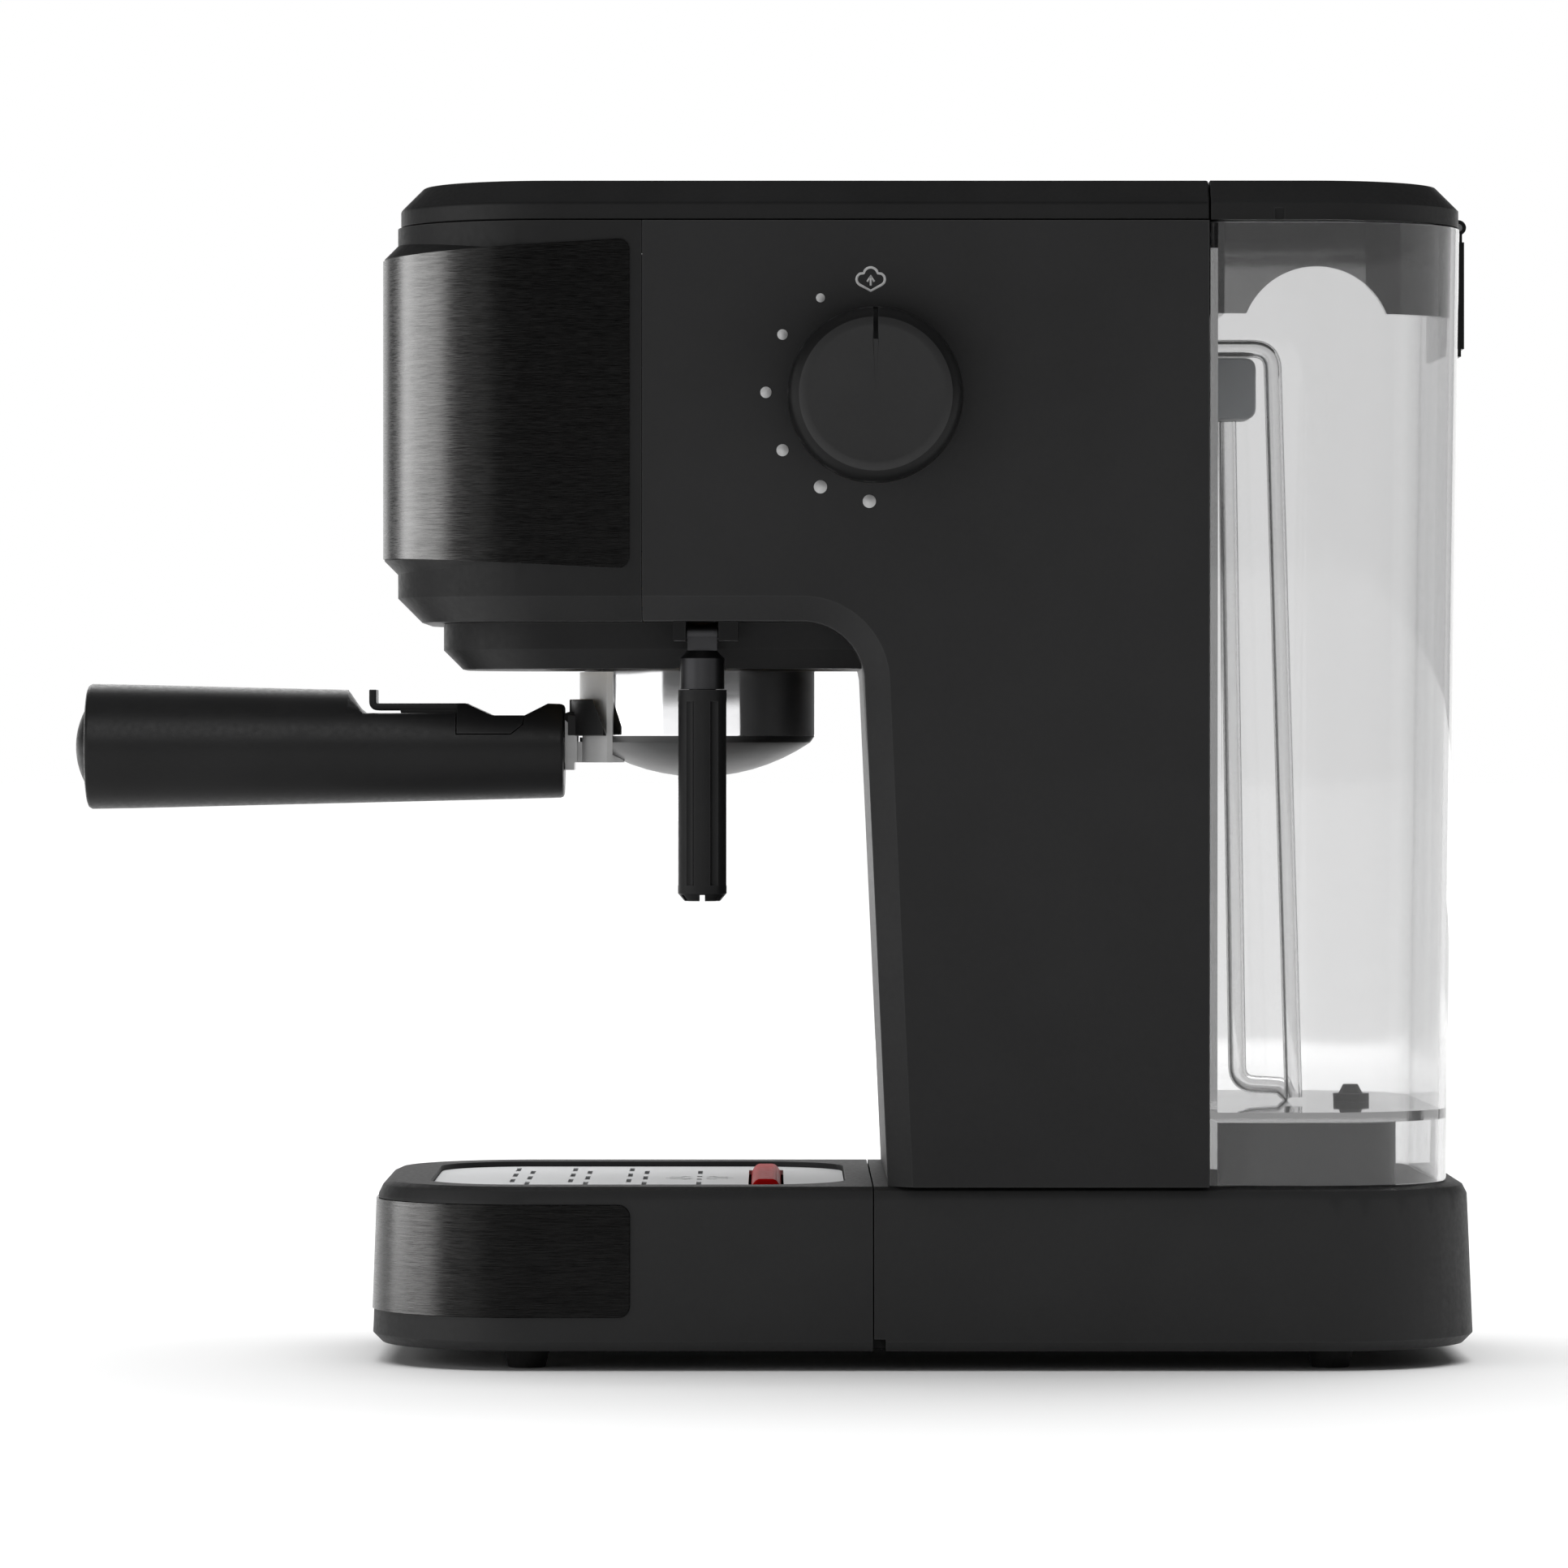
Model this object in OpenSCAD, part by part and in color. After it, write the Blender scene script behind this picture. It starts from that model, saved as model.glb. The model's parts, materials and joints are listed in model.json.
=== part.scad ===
// Slim pump espresso machine. Millimetres, +Z up, front towards -Y, user's right towards +X.
// The origin is on the counter, straight below the brew axis.

/* [Body] */
// Width of the body and of the base
body_w = 145; // [140:1:160]
// Height of the top cover above the counter
body_top = 305; // [300:1:320]
// Underside of the head above the counter
head_bottom = 192; // [190:0.5:194]
// Seam between the body and the top cover
lid_seam = 294.6; // [292:0.2:296]
// Distance from the brew axis to the front of the head
head_front = 78.3; // [76:0.1:82]
// How far the front panel stands out of the head
belt_out = 3.5; // [2:0.5:5]
// Distance from the brew axis to the rear wall of the body
body_rear = 131; // [128:0.5:134]
// Rounding of the body's corners in plan
corner_r = 41; // [36:1:44]
// Bevel round the underside of the head and down the column
bevel = 6.3; // [4:0.1:8]
// Wall thickness of the moulded covers
wall = 2.4; // [1.6:0.2:3]

/* [Base] */
// Height of the base's top above the counter
base_top = 47; // [44:0.5:50]
// Height of the feet
foot_h = 5; // [4:0.5:7]
// Distance from the brew axis to the front of the base
base_front = 84.8; // [83:0.1:90]
// Distance from the brew axis to the rear of the base
base_rear = 201.7; // [200:0.1:210]
// Seam between the drip tray and the rear of the base
tray_rear = 45; // [44:0.5:46]

/* [Column] */
// Front of the column where the arch begins
column_front = 43; // [42:0.5:45]
// Radius of the arch between head and column
arch_r = 16; // [12:1:20]
// Backward slope of the column's front, in degrees
column_tilt = 2.6; // [0:0.2:4]

/* [Brewing] */
// Outer radius of the portafilter's cup
cup_r = 30.5; // [29.5:0.1:31]
// Height of the axis of the portafilter's handle
handle_z = 159.8; // [158:0.2:162]
// Half width of the group's skirt
skirt_half = 46; // [44.5:0.5:47]
// Underside of the group's skirt
skirt_bottom = 180; // [178:0.5:182]

/* [Steam] */
// Diameter of the steam knob
knob_d = 44.7; // [38:0.1:50]
// Distance of the knob's axis behind the brew axis
knob_y = 45.5; // [40:0.5:60]
// Height of the knob's axis
knob_z = 249.4; // [230:0.2:262]
// Distance of the steam wand from the middle of the body
wand_x = 56; // [55:0.5:57]
// Length of the sleeve of the steam wand
sleeve_l = 54.4; // [40:0.2:60]

/* [Water tank] */
// Distance from the brew axis to the tank's rear wall at its mouth
tank_rear = 198; // [190:0.5:198]
// Wall thickness of the clear tank
tank_wall = 2; // [1.6:0.2:3]
// Top of the tank's clear floor
tank_floor = 66; // [65:0.5:72]

/* [Hidden] */
$fn = 96;
half_w = body_w / 2;
spine_x = half_w - corner_r;
gap = 0.3;
fine = 0.05;
far = 400;
bay_axis_y = column_front - arch_r;
bay_axis_z = head_bottom - arch_r;
shroud_rear = -14.2;
band_rear = -17.3;
band_proud = 0.4;
band_t = 0.9;
belt_front = head_front + belt_out;
tank_y0 = body_rear + gap;
tank_top = lid_seam - 0.6;
tank_r = 38;
tank_draft = 3.5;
lid_gap = 0.2;
hinge_y = tank_rear + 1.7;
hinge_z = 296.2;
valve_y = 172.5;
gland_x = 20;
gland_z = 24;
gland_r = 5;
cord_r = 3.3;
dock_top = 63;
tube_x = 5;
dock_rear = 180;
dock_half = 62;
floor_under = 63.4;
group_bore = 41.5;
wand_y = 1.2;
wand_pivot_z = head_bottom - 2.9;
wand_r = 5.7;
sleeve_r = 6.3;
sleeve_top = 174.4;
button_r = 7.6;
button_z = 226;
button_pitch = 25;
gauge_r = 16;
gauge_z = 259;
shaft_r = 3;
foot_x = 56;
foot_front_y = -44;
foot_rear_y = 163;
plate_half = 63;
plate_front = -70;
plate_rear = 190;
plate_top = foot_h + 3;
grille_half = 57;
grille_front = -69.5;
grille_rear = 38;
grille_top = 45.6;
grille_t = 1.2;
float_y = 17.6;
float_half = 38;
float_w = 8;
handle_front_y = -161.8;
handle_rear_y = -35.7;
handle_front_r = 16.65;
handle_rear_r = 13.6;
handle_reach = 50;
recess_y = -88.5;
recess_z = handle_z + 8.8;
rib_half = 5;
pad = [
    [-63.8, 171.2], [-63.8, 163.2], [-49.6, 163.2], [-46.6, 165.6], [-46.3, 168], [-54.6, 168], [-61.6, 171.2]
];
pad_recess = [
    [-64.1, 162.9], [-49.5, 162.9], [-46.3, 165.5], [-46, 168], [-39.8, 171.2], [-39.8, 200], [-64.1, 200]
];
neck_half = 7;
lever_half = 6.8;
lever_y = -33.8;
lever_z = 166;
dish_z = 203.6;
dish_r = 51.8;
grip_z0 = 262;
tube_r = 2.4;
rear_tube = [[0, 151.4, 264.7], [0, 156.8, tank_floor + 1]];
front_tube = [[0, 139.8, 268], [0, 143.4, tank_floor + 1]];
inlet_z = 264.7;
pump_y = 92;

// ---- shared shapes ----

// Solid round an upright spine rectangle: its wall follows section points of [outset, height]
module rounded_body(section, sx, y0, y1) {
    heights = [for (p = section) p[1]];
    corners = [[sx, y1, 0], [-sx, y1, 90], [-sx, y0, 180], [sx, y0, 270]];
    for (c = corners)
        translate([c[0], c[1], 0]) rotate([0, 0, c[2]])
            rotate_extrude(angle = 90) polygon(section);
    for (m = [0, 1])
        mirror([m, 0, 0]) translate([sx, y1, 0]) rotate([90, 0, 0])
            linear_extrude(y1 - y0) polygon(section);
    translate([-sx, y1, 0]) rotate([90, 0, 90]) linear_extrude(2 * sx) polygon(section);
    translate([sx, y0, 0]) rotate([90, 0, -90]) linear_extrude(2 * sx) polygon(section);
    translate([-sx, y0, min(heights)]) cube([2 * sx, y1 - y0, max(heights) - min(heights)]);
}

// Box from its lowest corner to its highest
module box(lo, hi) {
    translate(lo) cube(hi - lo);
}

// Flat outline with rounded corners
module rounded_rect(x0, y0, x1, y1, r) {
    translate([x0 + r, y0]) square([x1 - x0 - 2 * r, y1 - y0]);
    translate([x0, y0 + r]) square([x1 - x0, y1 - y0 - 2 * r]);
    for (x = [x0 + r, x1 - r], y = [y0 + r, y1 - r])
        translate([x, y]) circle(r);
}

// Extrusion across the body of an outline drawn in Y and Z
module across(x0, x1) {
    translate([x0, 0, 0]) rotate([90, 0, 90]) linear_extrude(x1 - x0) children();
}

// Round bar along X, or along Y
module bar_x(x0, x1, r) {
    translate([x0, 0, 0]) rotate([0, 90, 0]) cylinder(h = x1 - x0, r = r);
}

module bar_y(y0, y1, r) {
    translate([0, y0, 0]) rotate([-90, 0, 0]) cylinder(h = y1 - y0, r = r);
}

// Ring along Z
module ring(z0, z1, r_in, r_out) {
    translate([0, 0, z0]) difference() {
        cylinder(h = z1 - z0, r = r_out);
        translate([0, 0, -1]) cylinder(h = z1 - z0 + 2, r = r_in);
    }
}

// Pipe through points, with ball corners
module pipe(points, r) {
    for (i = [0 : len(points) - 2]) {
        d = points[i + 1] - points[i];
        translate(points[i]) rotate([0, acos(d[2] / norm(d)), atan2(d[1], d[0])])
            cylinder(h = norm(d), r = r);
    }
    if (len(points) > 2)
        for (i = [1 : len(points) - 2])
            translate(points[i]) sphere(1.1 * r);
}

// ---- shape of the body ----

// Open space above the drip tray, drawn in Y and Z
module bay_section(grow) {
    slope = tan(column_tilt);
    polygon([
        [-far, 0], [column_front + grow + slope * bay_axis_z, 0],
        [column_front + grow, bay_axis_z], [-far, bay_axis_z]
    ]);
    translate([-far, 0]) square([far + bay_axis_y, head_bottom + grow]);
    translate([bay_axis_y, bay_axis_z]) circle(arch_r + grow);
}

// Column and arch, bevelled on both sides
module column_body() {
    reach = bevel + 1;
    difference() {
        box([-half_w, bay_axis_y - 7, base_top + fine], [half_w, body_rear, head_bottom + bevel]);
        across(-far / 2, far / 2) bay_section(0);
        for (m = [0, 1]) mirror([m, 0, 0]) {
            translate([half_w - bevel, bay_axis_y, bay_axis_z]) rotate([0, 90, 0])
                cylinder(h = reach, r1 = arch_r, r2 = arch_r + reach);
            translate([half_w - bevel, bay_axis_y, head_bottom]) rotate([90, 0, 0])
                linear_extrude(far) polygon([[0, 0], [reach, reach], [reach, -1], [0, -1]]);
            translate([half_w - bevel, column_front, bay_axis_z]) rotate([column_tilt, 0, 0])
                translate([0, 0, -far]) linear_extrude(far)
                    polygon([[0, 0], [reach, reach], [reach, -1], [0, -1]]);
        }
    }
}

// Head with its bevelled underside, shrunk by an inset
module head_body(inset, z0, z1) {
    r = corner_r - inset;
    rounded_body([[0, z0], [r - bevel, z0], [r, z0 + bevel], [r, z1], [0, z1]],
        spine_x, corner_r - head_front, body_rear);
}

// Front panel that stands out of the head, with flared upper and lower edges
module belt_body(inset) {
    r = corner_r - inset;
    lo = 204.5 + inset;
    hi = 290 - inset;
    lower = [[0, lo], [r - belt_out, lo], [r, lo + belt_out]];
    upper = [[r, hi - belt_out], [r - belt_out, hi], [0, hi]];
    rounded_body(concat(lower, upper),
        spine_x, corner_r - belt_front, 0);
}

module trunk() {
    intersection() {
        union() {
            head_body(0, head_bottom, lid_seam - lid_gap);
            column_body();
        }
        box([-half_w - 1, -far, 0], [half_w + 1, body_rear, far]);
    }
}

// Outer form of the base, with a little draft
module base_body(inset, z0, z1) {
    r = corner_r - inset;
    top_r = r - 1.5;
    lower = [[0, z0], [r - 2.5, z0], [r, z0 + 2.5]];
    upper = [[top_r, z1 - 3.4], [top_r - 1.2, z1 - 1], [top_r - 3.4, z1], [0, z1]];
    rounded_body(concat(lower, upper), spine_x, corner_r - base_front, base_rear - corner_r);
}

// Steel band that wraps the front, cut to its outline drawn in Y and Z
module wrapped_band(front_y, r_in, r_out) {
    y0 = corner_r - front_y;
    intersection() {
        difference() {
            rounded_body([[0, 0], [r_out, 0], [r_out, lid_seam], [0, lid_seam]], spine_x, y0, 0);
            rounded_body([[0, -1], [r_in, -1], [r_in, far], [0, far]], spine_x, y0, 2);
        }
        across(-far / 2, far / 2) children();
    }
}

// Outline of the head's band: it narrows a little towards the front
module head_band_outline(grow) {
    r = 3;
    z_rear = [205.4 - grow, 289.8 + grow];
    z_front = [208.5 - grow, 286 + grow];
    y_end = band_rear + grow;
    difference() {
        polygon([[-far, z_front[0]], [-belt_front, z_front[0]], [y_end, z_rear[0]],
            [y_end, z_rear[1]], [-belt_front, z_front[1]], [-far, z_front[1]]]);
        for (i = [0, 1])
            translate([y_end, z_rear[i]]) mirror([0, i]) difference() {
                translate([-r, -1]) square([r + 1, r + 1]);
                translate([-r, r]) circle(r);
            }
    }
}

module tray_band_outline(grow) {
    rounded_rect(-far, 13.8 - grow, band_rear + grow, 42.4 + grow, 3);
}

// Holes for the gauge and the buttons in the front of the head
module front_holes(slack) {
    translate([0, 0, gauge_z]) bar_y(-far, -60, gauge_r + slack);
    for (i = [-1 : 1])
        translate([i * button_pitch, 0, button_z]) bar_y(-far, -60, button_r + slack);
}

// ---- base ----

module feet() {
    color("#161616")
    for (x = [-foot_x, foot_x], y = [foot_front_y, foot_rear_y])
        translate([x, y, 0]) cylinder(h = foot_h, r1 = 4.8, r2 = 6);
}

module base_plate() {
    color("#242424")
    difference() {
        translate([0, 0, foot_h]) linear_extrude(plate_top - foot_h)
            rounded_rect(-plate_half, plate_front, plate_half, plate_rear, 30);
        for (y = [95 : 12 : 143])
            translate([-20, y, 0]) cube([40, 3, 20]);
    }
}

module base_housing() {
    color("#2a2a2a")
    difference() {
        base_body(0, foot_h, base_top);
        box([-far, -far, 0], [far, tray_rear + gap, far]);
        box([-far, -far, 0], [far, tray_rear + gap + 3, plate_top + 0.2]);
        intersection() {
            base_body(wall, -1, base_top - wall);
            box([-far, tray_rear + gap + wall, -1], [far, far, far]);
        }
        translate([0, valve_y, 0]) cylinder(h = far, r = 5);
        translate([gland_x, 0, gland_z]) bar_y(150, far, gland_r + fine);
        box([-50, 60, 30], [50, 120, 60]);
    }
}

// Plinth under the tank, with the pin that opens the tank's valve
module tank_dock() {
    front = tank_y0 + tank_wall + 1;
    well_r = 5;
    color("#1c1c1c") {
        difference() {
            translate([0, 0, base_top]) linear_extrude(dock_top - base_top)
                rounded_rect(-dock_half, front, dock_half, dock_rear, 12);
            translate([0, 0, base_top - 1]) linear_extrude(dock_top - base_top - wall + 1)
                rounded_rect(-dock_half + wall, front + wall, dock_half - wall, dock_rear - wall, 10);
            translate([0, valve_y, 0]) cylinder(h = far, r = well_r);
        }
        translate([0, valve_y, 0]) {
            translate([0, 0, dock_top - 3]) cylinder(h = 3.1, r = 1.2);
            box([-well_r - 0.5, -0.8, dock_top - 2.4], [well_r + 0.5, 0.8, dock_top - 1]);
        }
    }
}

module cord_gland() {
    color("#141414")
    translate([gland_x, 0, gland_z]) difference() {
        bar_y(base_rear - 11, base_rear - 1, gland_r);
        bar_y(base_rear - 20, far, cord_r);
    }
}

// ---- body panels ----

module side_cover(side) {
    inner_x = half_w - wall;
    mirror([side < 0 ? 1 : 0, 0, 0]) difference() {
        intersection() {
            trunk();
            box([half_w - bevel, shroud_rear + 0.15, base_top], [half_w + 1, body_rear, lid_seam]);
        }
        box([0, shroud_rear + 2, head_bottom + bevel + 1], [inner_x, body_rear - 2, lid_seam - 2]);
        box([0, column_front + bevel + 9, base_top + 2], [inner_x, body_rear - 2, head_bottom + bevel + 2]);
    }
}

module side_cover_right() {
    color("#2b2b2b")
    difference() {
        side_cover(1);
        translate([0, knob_y, knob_z]) bar_x(50, far, shaft_r + 0.6);
    }
}

module side_cover_left() {
    color("#2b2b2b") side_cover(-1);
}

// Curved sheet under the rear of the head, round the arch and down the column
module arch_liner() {
    color("#232323")
    difference() {
        across(-half_w + bevel + fine, half_w - bevel - fine) intersection() {
            difference() {
                bay_section(wall);
                bay_section(0);
            }
            translate([shroud_rear + 0.15, base_top + fine]) square([far, far]);
        }
        cylinder(h = far, r = group_bore + 0.5);
        translate([wand_x, wand_y, 150]) cylinder(h = 60, r = 4);
    }
}

module front_shroud() {
    color("#262626")
    difference() {
        intersection() {
            union() {
                head_body(0, head_bottom, lid_seam - lid_gap);
                belt_body(0);
            }
            box([-far, -far, 0], [far, shroud_rear, far]);
        }
        head_body(wall, head_bottom + wall, far);
        belt_body(wall);
        wrapped_band(belt_front, corner_r - band_t + band_proud - fine, corner_r + 5) head_band_outline(fine);
        front_holes(0.3);
        cylinder(h = head_bottom + 10, r = group_bore + 0.5);
    }
}

module head_band() {
    color("#3a3a3a")
    difference() {
        wrapped_band(belt_front, corner_r - band_t + band_proud, corner_r + band_proud) head_band_outline(0);
        front_holes(0.3);
    }
}

module rear_wall() {
    half = half_w - bevel - fine;
    color("#262626")
    box([-half, body_rear - wall, base_top + fine], [half, body_rear, lid_seam - lid_gap]);
}

// Top cover and tank lid are one bevelled form, parted at the rear wall
module top_form(inset, z0, z1) {
    r = corner_r - 0.8 - inset;
    rounded_body([[0, z0], [r, z0], [r, z0 + 4.4], [r - 6, z1], [0, z1]],
        spine_x, corner_r - head_front, tank_rear - corner_r + 0.8);
}

module top_cover() {
    color("#242424")
    difference() {
        top_form(0, lid_seam, body_top);
        box([-far, body_rear, 0], [far, far, far]);
        intersection() {
            top_form(wall, lid_seam - 1, body_top - wall);
            box([-far, -far, 0], [far, body_rear - wall, far]);
        }
        translate([0, 0, body_top - 1]) linear_extrude(5)
            rounded_rect(-57, -62, 57, 120, 28);
    }
}

// Plate that warms cups, with rows of shallow round dimples
module cup_plate() {
    color("#5c5c5c")
    difference() {
        translate([0, 0, body_top - 0.95]) linear_extrude(0.95)
            rounded_rect(-56.8, -61.8, 56.8, 119.8, 27.8);
        for (x = [-40 : 20 : 40], y = [-40 : 23 : 98])
            translate([x, y, body_top - 0.4]) cylinder(h = 2, r = 3);
    }
}

// ---- brewing group ----

module group_skirt() {
    color("#1d1d1d")
    difference() {
        r = 30;
        top = head_bottom - fine;
        lower = [[0, skirt_bottom], [r - 5, skirt_bottom], [r, skirt_bottom + 5]];
        rounded_body(concat(lower, [[r, top], [0, top]]), skirt_half - r, r - 67, 60);
        across(-far, far) difference() {
            translate([bay_axis_y - 20, 100]) square([100, 100]);
            bay_section(-fine);
        }
        cylinder(h = far, r = group_bore);
        translate([wand_x, wand_y, 150]) cylinder(h = 60, r = 9);
    }
}

// Locking ring with a bayonet groove and two entry slots
module group_head() {
    color("#9a8558")
    difference() {
        union() {
            translate([0, 0, skirt_bottom + 1]) cylinder(h = 22, r = group_bore - 0.4);
            translate([0, 0, 203]) cylinder(h = 8, r = 30);
        }
        translate([0, 0, skirt_bottom]) cylinder(h = 18.2, r = cup_r + 0.8);
        translate([0, 0, 185.6]) cylinder(h = 4.8, r = 37);
        for (a = [45, 225])
            rotate([0, 0, a]) box([0, -9, skirt_bottom], [35.8, 9, 186]);
        translate([0, 0, 190]) cylinder(h = far, r = 2);
    }
}

module group_gasket() {
    color("#2a2a2a") ring(194.2, 198, 25.5, 30.6);
}

module shower_screen() {
    color("#b8b8b8")
    difference() {
        translate([0, 0, 194.6]) cylinder(h = 1, r = 25.2);
        translate([0, 0, 190]) cylinder(h = 10, r = 2.1);
        for (r = [7 : 6 : 19], i = [0 : 11])
            rotate([0, 0, i * 30 + r * 5]) translate([r, 0, 190]) cylinder(h = 10, r = 0.6);
    }
}

module screen_screw() {
    color("#c8c8c8") {
        translate([0, 0, 193.2]) cylinder(h = 1.4, r = 4);
        translate([0, 0, 194.6]) cylinder(h = 8, r = 1.95);
    }
}

module boiler() {
    color("#8f8f8f")
    difference() {
        union() {
            translate([0, 0, 211]) cylinder(h = 48, r = 31);
            translate([0, 0, 230]) cylinder(h = 6, r = 40);
        }
        translate([0, 0, 214]) cylinder(h = 42, r = 26);
        for (a = [45 : 90 : 315])
            rotate([0, 0, a]) translate([35.5, 0, 200]) cylinder(h = 60, r = 2);
    }
}

module heating_element() {
    color("#a06a44")
    translate([0, 0, 240]) rotate_extrude() translate([20, 0]) circle(4);
}

module pump_body() {
    color("#d0c8b4")
    translate([0, pump_y, 0]) {
        translate([0, 0, 84]) cylinder(h = 100, r = 11);
        translate([0, 0, 78]) cylinder(h = 6, r = 6);
    }
}

module pump_coil() {
    color("#6e3b22") translate([0, pump_y, 0]) ring(110, 150, 11.05, 20);
}

module pump_bracket() {
    color("#9c9c9c")
    difference() {
        union() {
            box([-24, 112.2, 104], [24, 114, 156]);
            box([-24, 70, 151], [24, 114, 153]);
        }
        translate([0, pump_y, 100]) cylinder(h = 80, r = 11.1);
    }
}

module steam_valve() {
    color("#b79a52")
    difference() {
        union() {
            box([36, knob_y - 9, knob_z - 9], [58, knob_y + 9, knob_z + 9]);
            translate([0, knob_y, knob_z]) bar_x(57, 64, 6.5);
        }
        translate([0, knob_y, knob_z]) bar_x(44, 70, shaft_r + 0.05);
    }
}

module control_board() {
    color("#2d5a34")
    difference() {
        box([-36, -64, 212], [36, -62.4, 244]);
        for (x = [-32, 32], z = [216, 240])
            translate([x, 0, z]) bar_y(-70, -60, 1.6);
    }
}

module water_hose() {
    color("#d8d8d8")
    difference() {
        pipe([[0, valve_y, 58], [0, valve_y, 26], [0, pump_y, 26], [0, pump_y, 78]], 3.5);
        translate([0, valve_y, 28]) cylinder(h = 40, r = 2);
    }
}

module steam_pipe() {
    color("#b8773f") {
        pipe([[30.1, 10, 250], [38, 10, 250], [38, knob_y - 9, 250]], 2);
        pipe([
            [50, knob_y, knob_z - 9], [50, knob_y, 212], [wand_x, wand_y, 204],
            [wand_x, wand_y, head_bottom + 1.6]
        ], 2);
    }
}

// ---- gauge and buttons ----

module gauge_bezel() {
    color("#c4c4c4")
    translate([0, 0, gauge_z]) difference() {
        bar_y(-belt_front - band_proud, -70, gauge_r);
        bar_y(-far, -76, gauge_r - 1.8);
    }
}

module gauge_dial() {
    color("#e8e8e4") translate([0, 0, gauge_z]) difference() {
        bar_y(-77.4, -76, gauge_r - 1.9);
        bar_y(-90, -70, 0.85);
    }
}

module gauge_lens() {
    color("#dfe8ee", 0.3)
    translate([0, 0, gauge_z]) bar_y(-belt_front + 0.6, -belt_front + 1.6, gauge_r - 1.85);
}

module gauge_needle() {
    color("#b01818")
    translate([0, 0, gauge_z]) {
        bar_y(-79.2, -76.1, 0.8);
        rotate([0, 225, 0]) box([-0.45, -79.2, -3], [0.45, -78.6, 11]);
    }
}

// Round push button with a shallow dished face
module button(i) {
    translate([i * button_pitch, 0, button_z]) difference() {
        union() {
            bar_y(-belt_front - band_proud, -70, button_r);
            bar_y(-71, -66, 3);
        }
        translate([0, -belt_front - 40.2, 0]) sphere(40.4);
    }
}

module button_power() {
    color("#1a1a1a") button(-1);
}

module button_coffee() {
    color("#1a1a1a") button(0);
}

module button_steam() {
    color("#1a1a1a") button(1);
}

// ---- steam knob and wand ----

// Round knob with a rolled rim and an engraved pointer line
module knob() {
    r = knob_d / 2;
    rim = 5.4;
    depth = 15.2;
    color("#202020")
    translate([half_w + 0.6, knob_y, knob_z]) difference() {
        rotate([0, 90, 0]) rotate_extrude() {
            square([r - rim, depth]);
            square([r - 0.8, depth - rim]);
            translate([r - rim, depth - rim]) circle(rim);
            translate([0, 2]) square([r, depth - rim - 2]);
        }
        translate([depth - 0.6, -0.6, 13.9]) cube([5, 1.2, 20]);
        bar_x(-2, 9, shaft_r + 0.02);
    }
}

module valve_spindle() {
    color("#b9b9b9") translate([0, knob_y, knob_z]) bar_x(47, half_w + 9, shaft_r);
}

// Clevis under the head that holds the wand's eye
module wand_bracket() {
    color("#191919")
    translate([wand_x, wand_y, 0]) {
        box([-7, -7.4, wand_pivot_z - 2.1], [7, -4.2, head_bottom - fine]);
        box([-7, 4.2, wand_pivot_z - 2.1], [7, 9.2, head_bottom - fine]);
        translate([0, 0, wand_pivot_z]) bar_y(-4.3, 4.3, 1.5);
    }
}

// Steam tube with an eye at its top
module wand_tube() {
    shoulder = wand_pivot_z - 6.6;
    foot = sleeve_top + 0.2;
    color("#3a3a3a")
    translate([wand_x, wand_y, 0]) difference() {
        union() {
            translate([0, 0, wand_pivot_z]) bar_y(-3.9, 3.9, 2.6);
            box([-2.4, -3.8, wand_pivot_z - 4.6], [2.4, 3.8, wand_pivot_z]);
            translate([0, 0, shoulder]) cylinder(h = 2, r1 = wand_r, r2 = 3.8);
            translate([0, 0, foot]) cylinder(h = shoulder - foot, r = wand_r);
            translate([0, 0, 128]) cylinder(h = 50, r = 3.5);
        }
        translate([0, 0, wand_pivot_z]) bar_y(-10, 10, 1.55);
        translate([0, 0, 120]) cylinder(h = 60, r = 1.6);
    }
}

module wand_tip() {
    color("#9a9a9a")
    translate([wand_x, wand_y, 0]) difference() {
        translate([0, 0, 125]) cylinder(h = 2.95, r1 = 2.4, r2 = 3.5);
        translate([0, 0, 120]) cylinder(h = 10, r = 0.7);
    }
}

// Fluted frothing sleeve with a notched lower end
module wand_sleeve() {
    z0 = sleeve_top - sleeve_l;
    color("#1b1b1b")
    translate([wand_x, wand_y, z0]) difference() {
        union() {
            cylinder(h = 2, r1 = 4.6, r2 = sleeve_r);
            translate([0, 0, 2]) cylinder(h = sleeve_l - 2, r = sleeve_r);
        }
        translate([0, 0, -1]) cylinder(h = sleeve_l + 2, r = 3.56);
        for (i = [0 : 5])
            rotate([0, 0, 30 + i * 60]) translate([sleeve_r + 0.7, 0, 4]) cylinder(h = sleeve_l - 7, r = 1.4);
        for (a = [0, 60, 120])
            rotate([0, 0, a]) box([-2 * sleeve_r, -0.7, -1], [2 * sleeve_r, 0.7, 1.6]);
    }
}

// ---- portafilter ----

// Deep polished cup with a domed dish and two bayonet lugs
module portafilter_cup() {
    color("#d6d6d6")
    difference() {
        union() {
            translate([0, 0, 162.4]) cylinder(h = 31.2, r = cup_r);
            intersection() {
                translate([0, 0, dish_z]) sphere(dish_r);
                translate([0, 0, 150]) cylinder(h = 12.4, r = cup_r);
            }
            for (a = [-90, 90])
                rotate([0, 0, a]) intersection() {
                    ring(186, 190, cup_r - 1, 36.6);
                    box([0, -8.4, 180], [40, 8.4, 200]);
                }
        }
        translate([0, 0, 164.4]) cylinder(h = 40, r = cup_r - 2);
        intersection() {
            translate([0, 0, dish_z]) sphere(dish_r - 2);
            translate([0, 0, 150]) cylinder(h = 15, r = cup_r - 2);
        }
        translate([0, 0, 140]) cylinder(h = 30, r = 3);
    }
}

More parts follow.
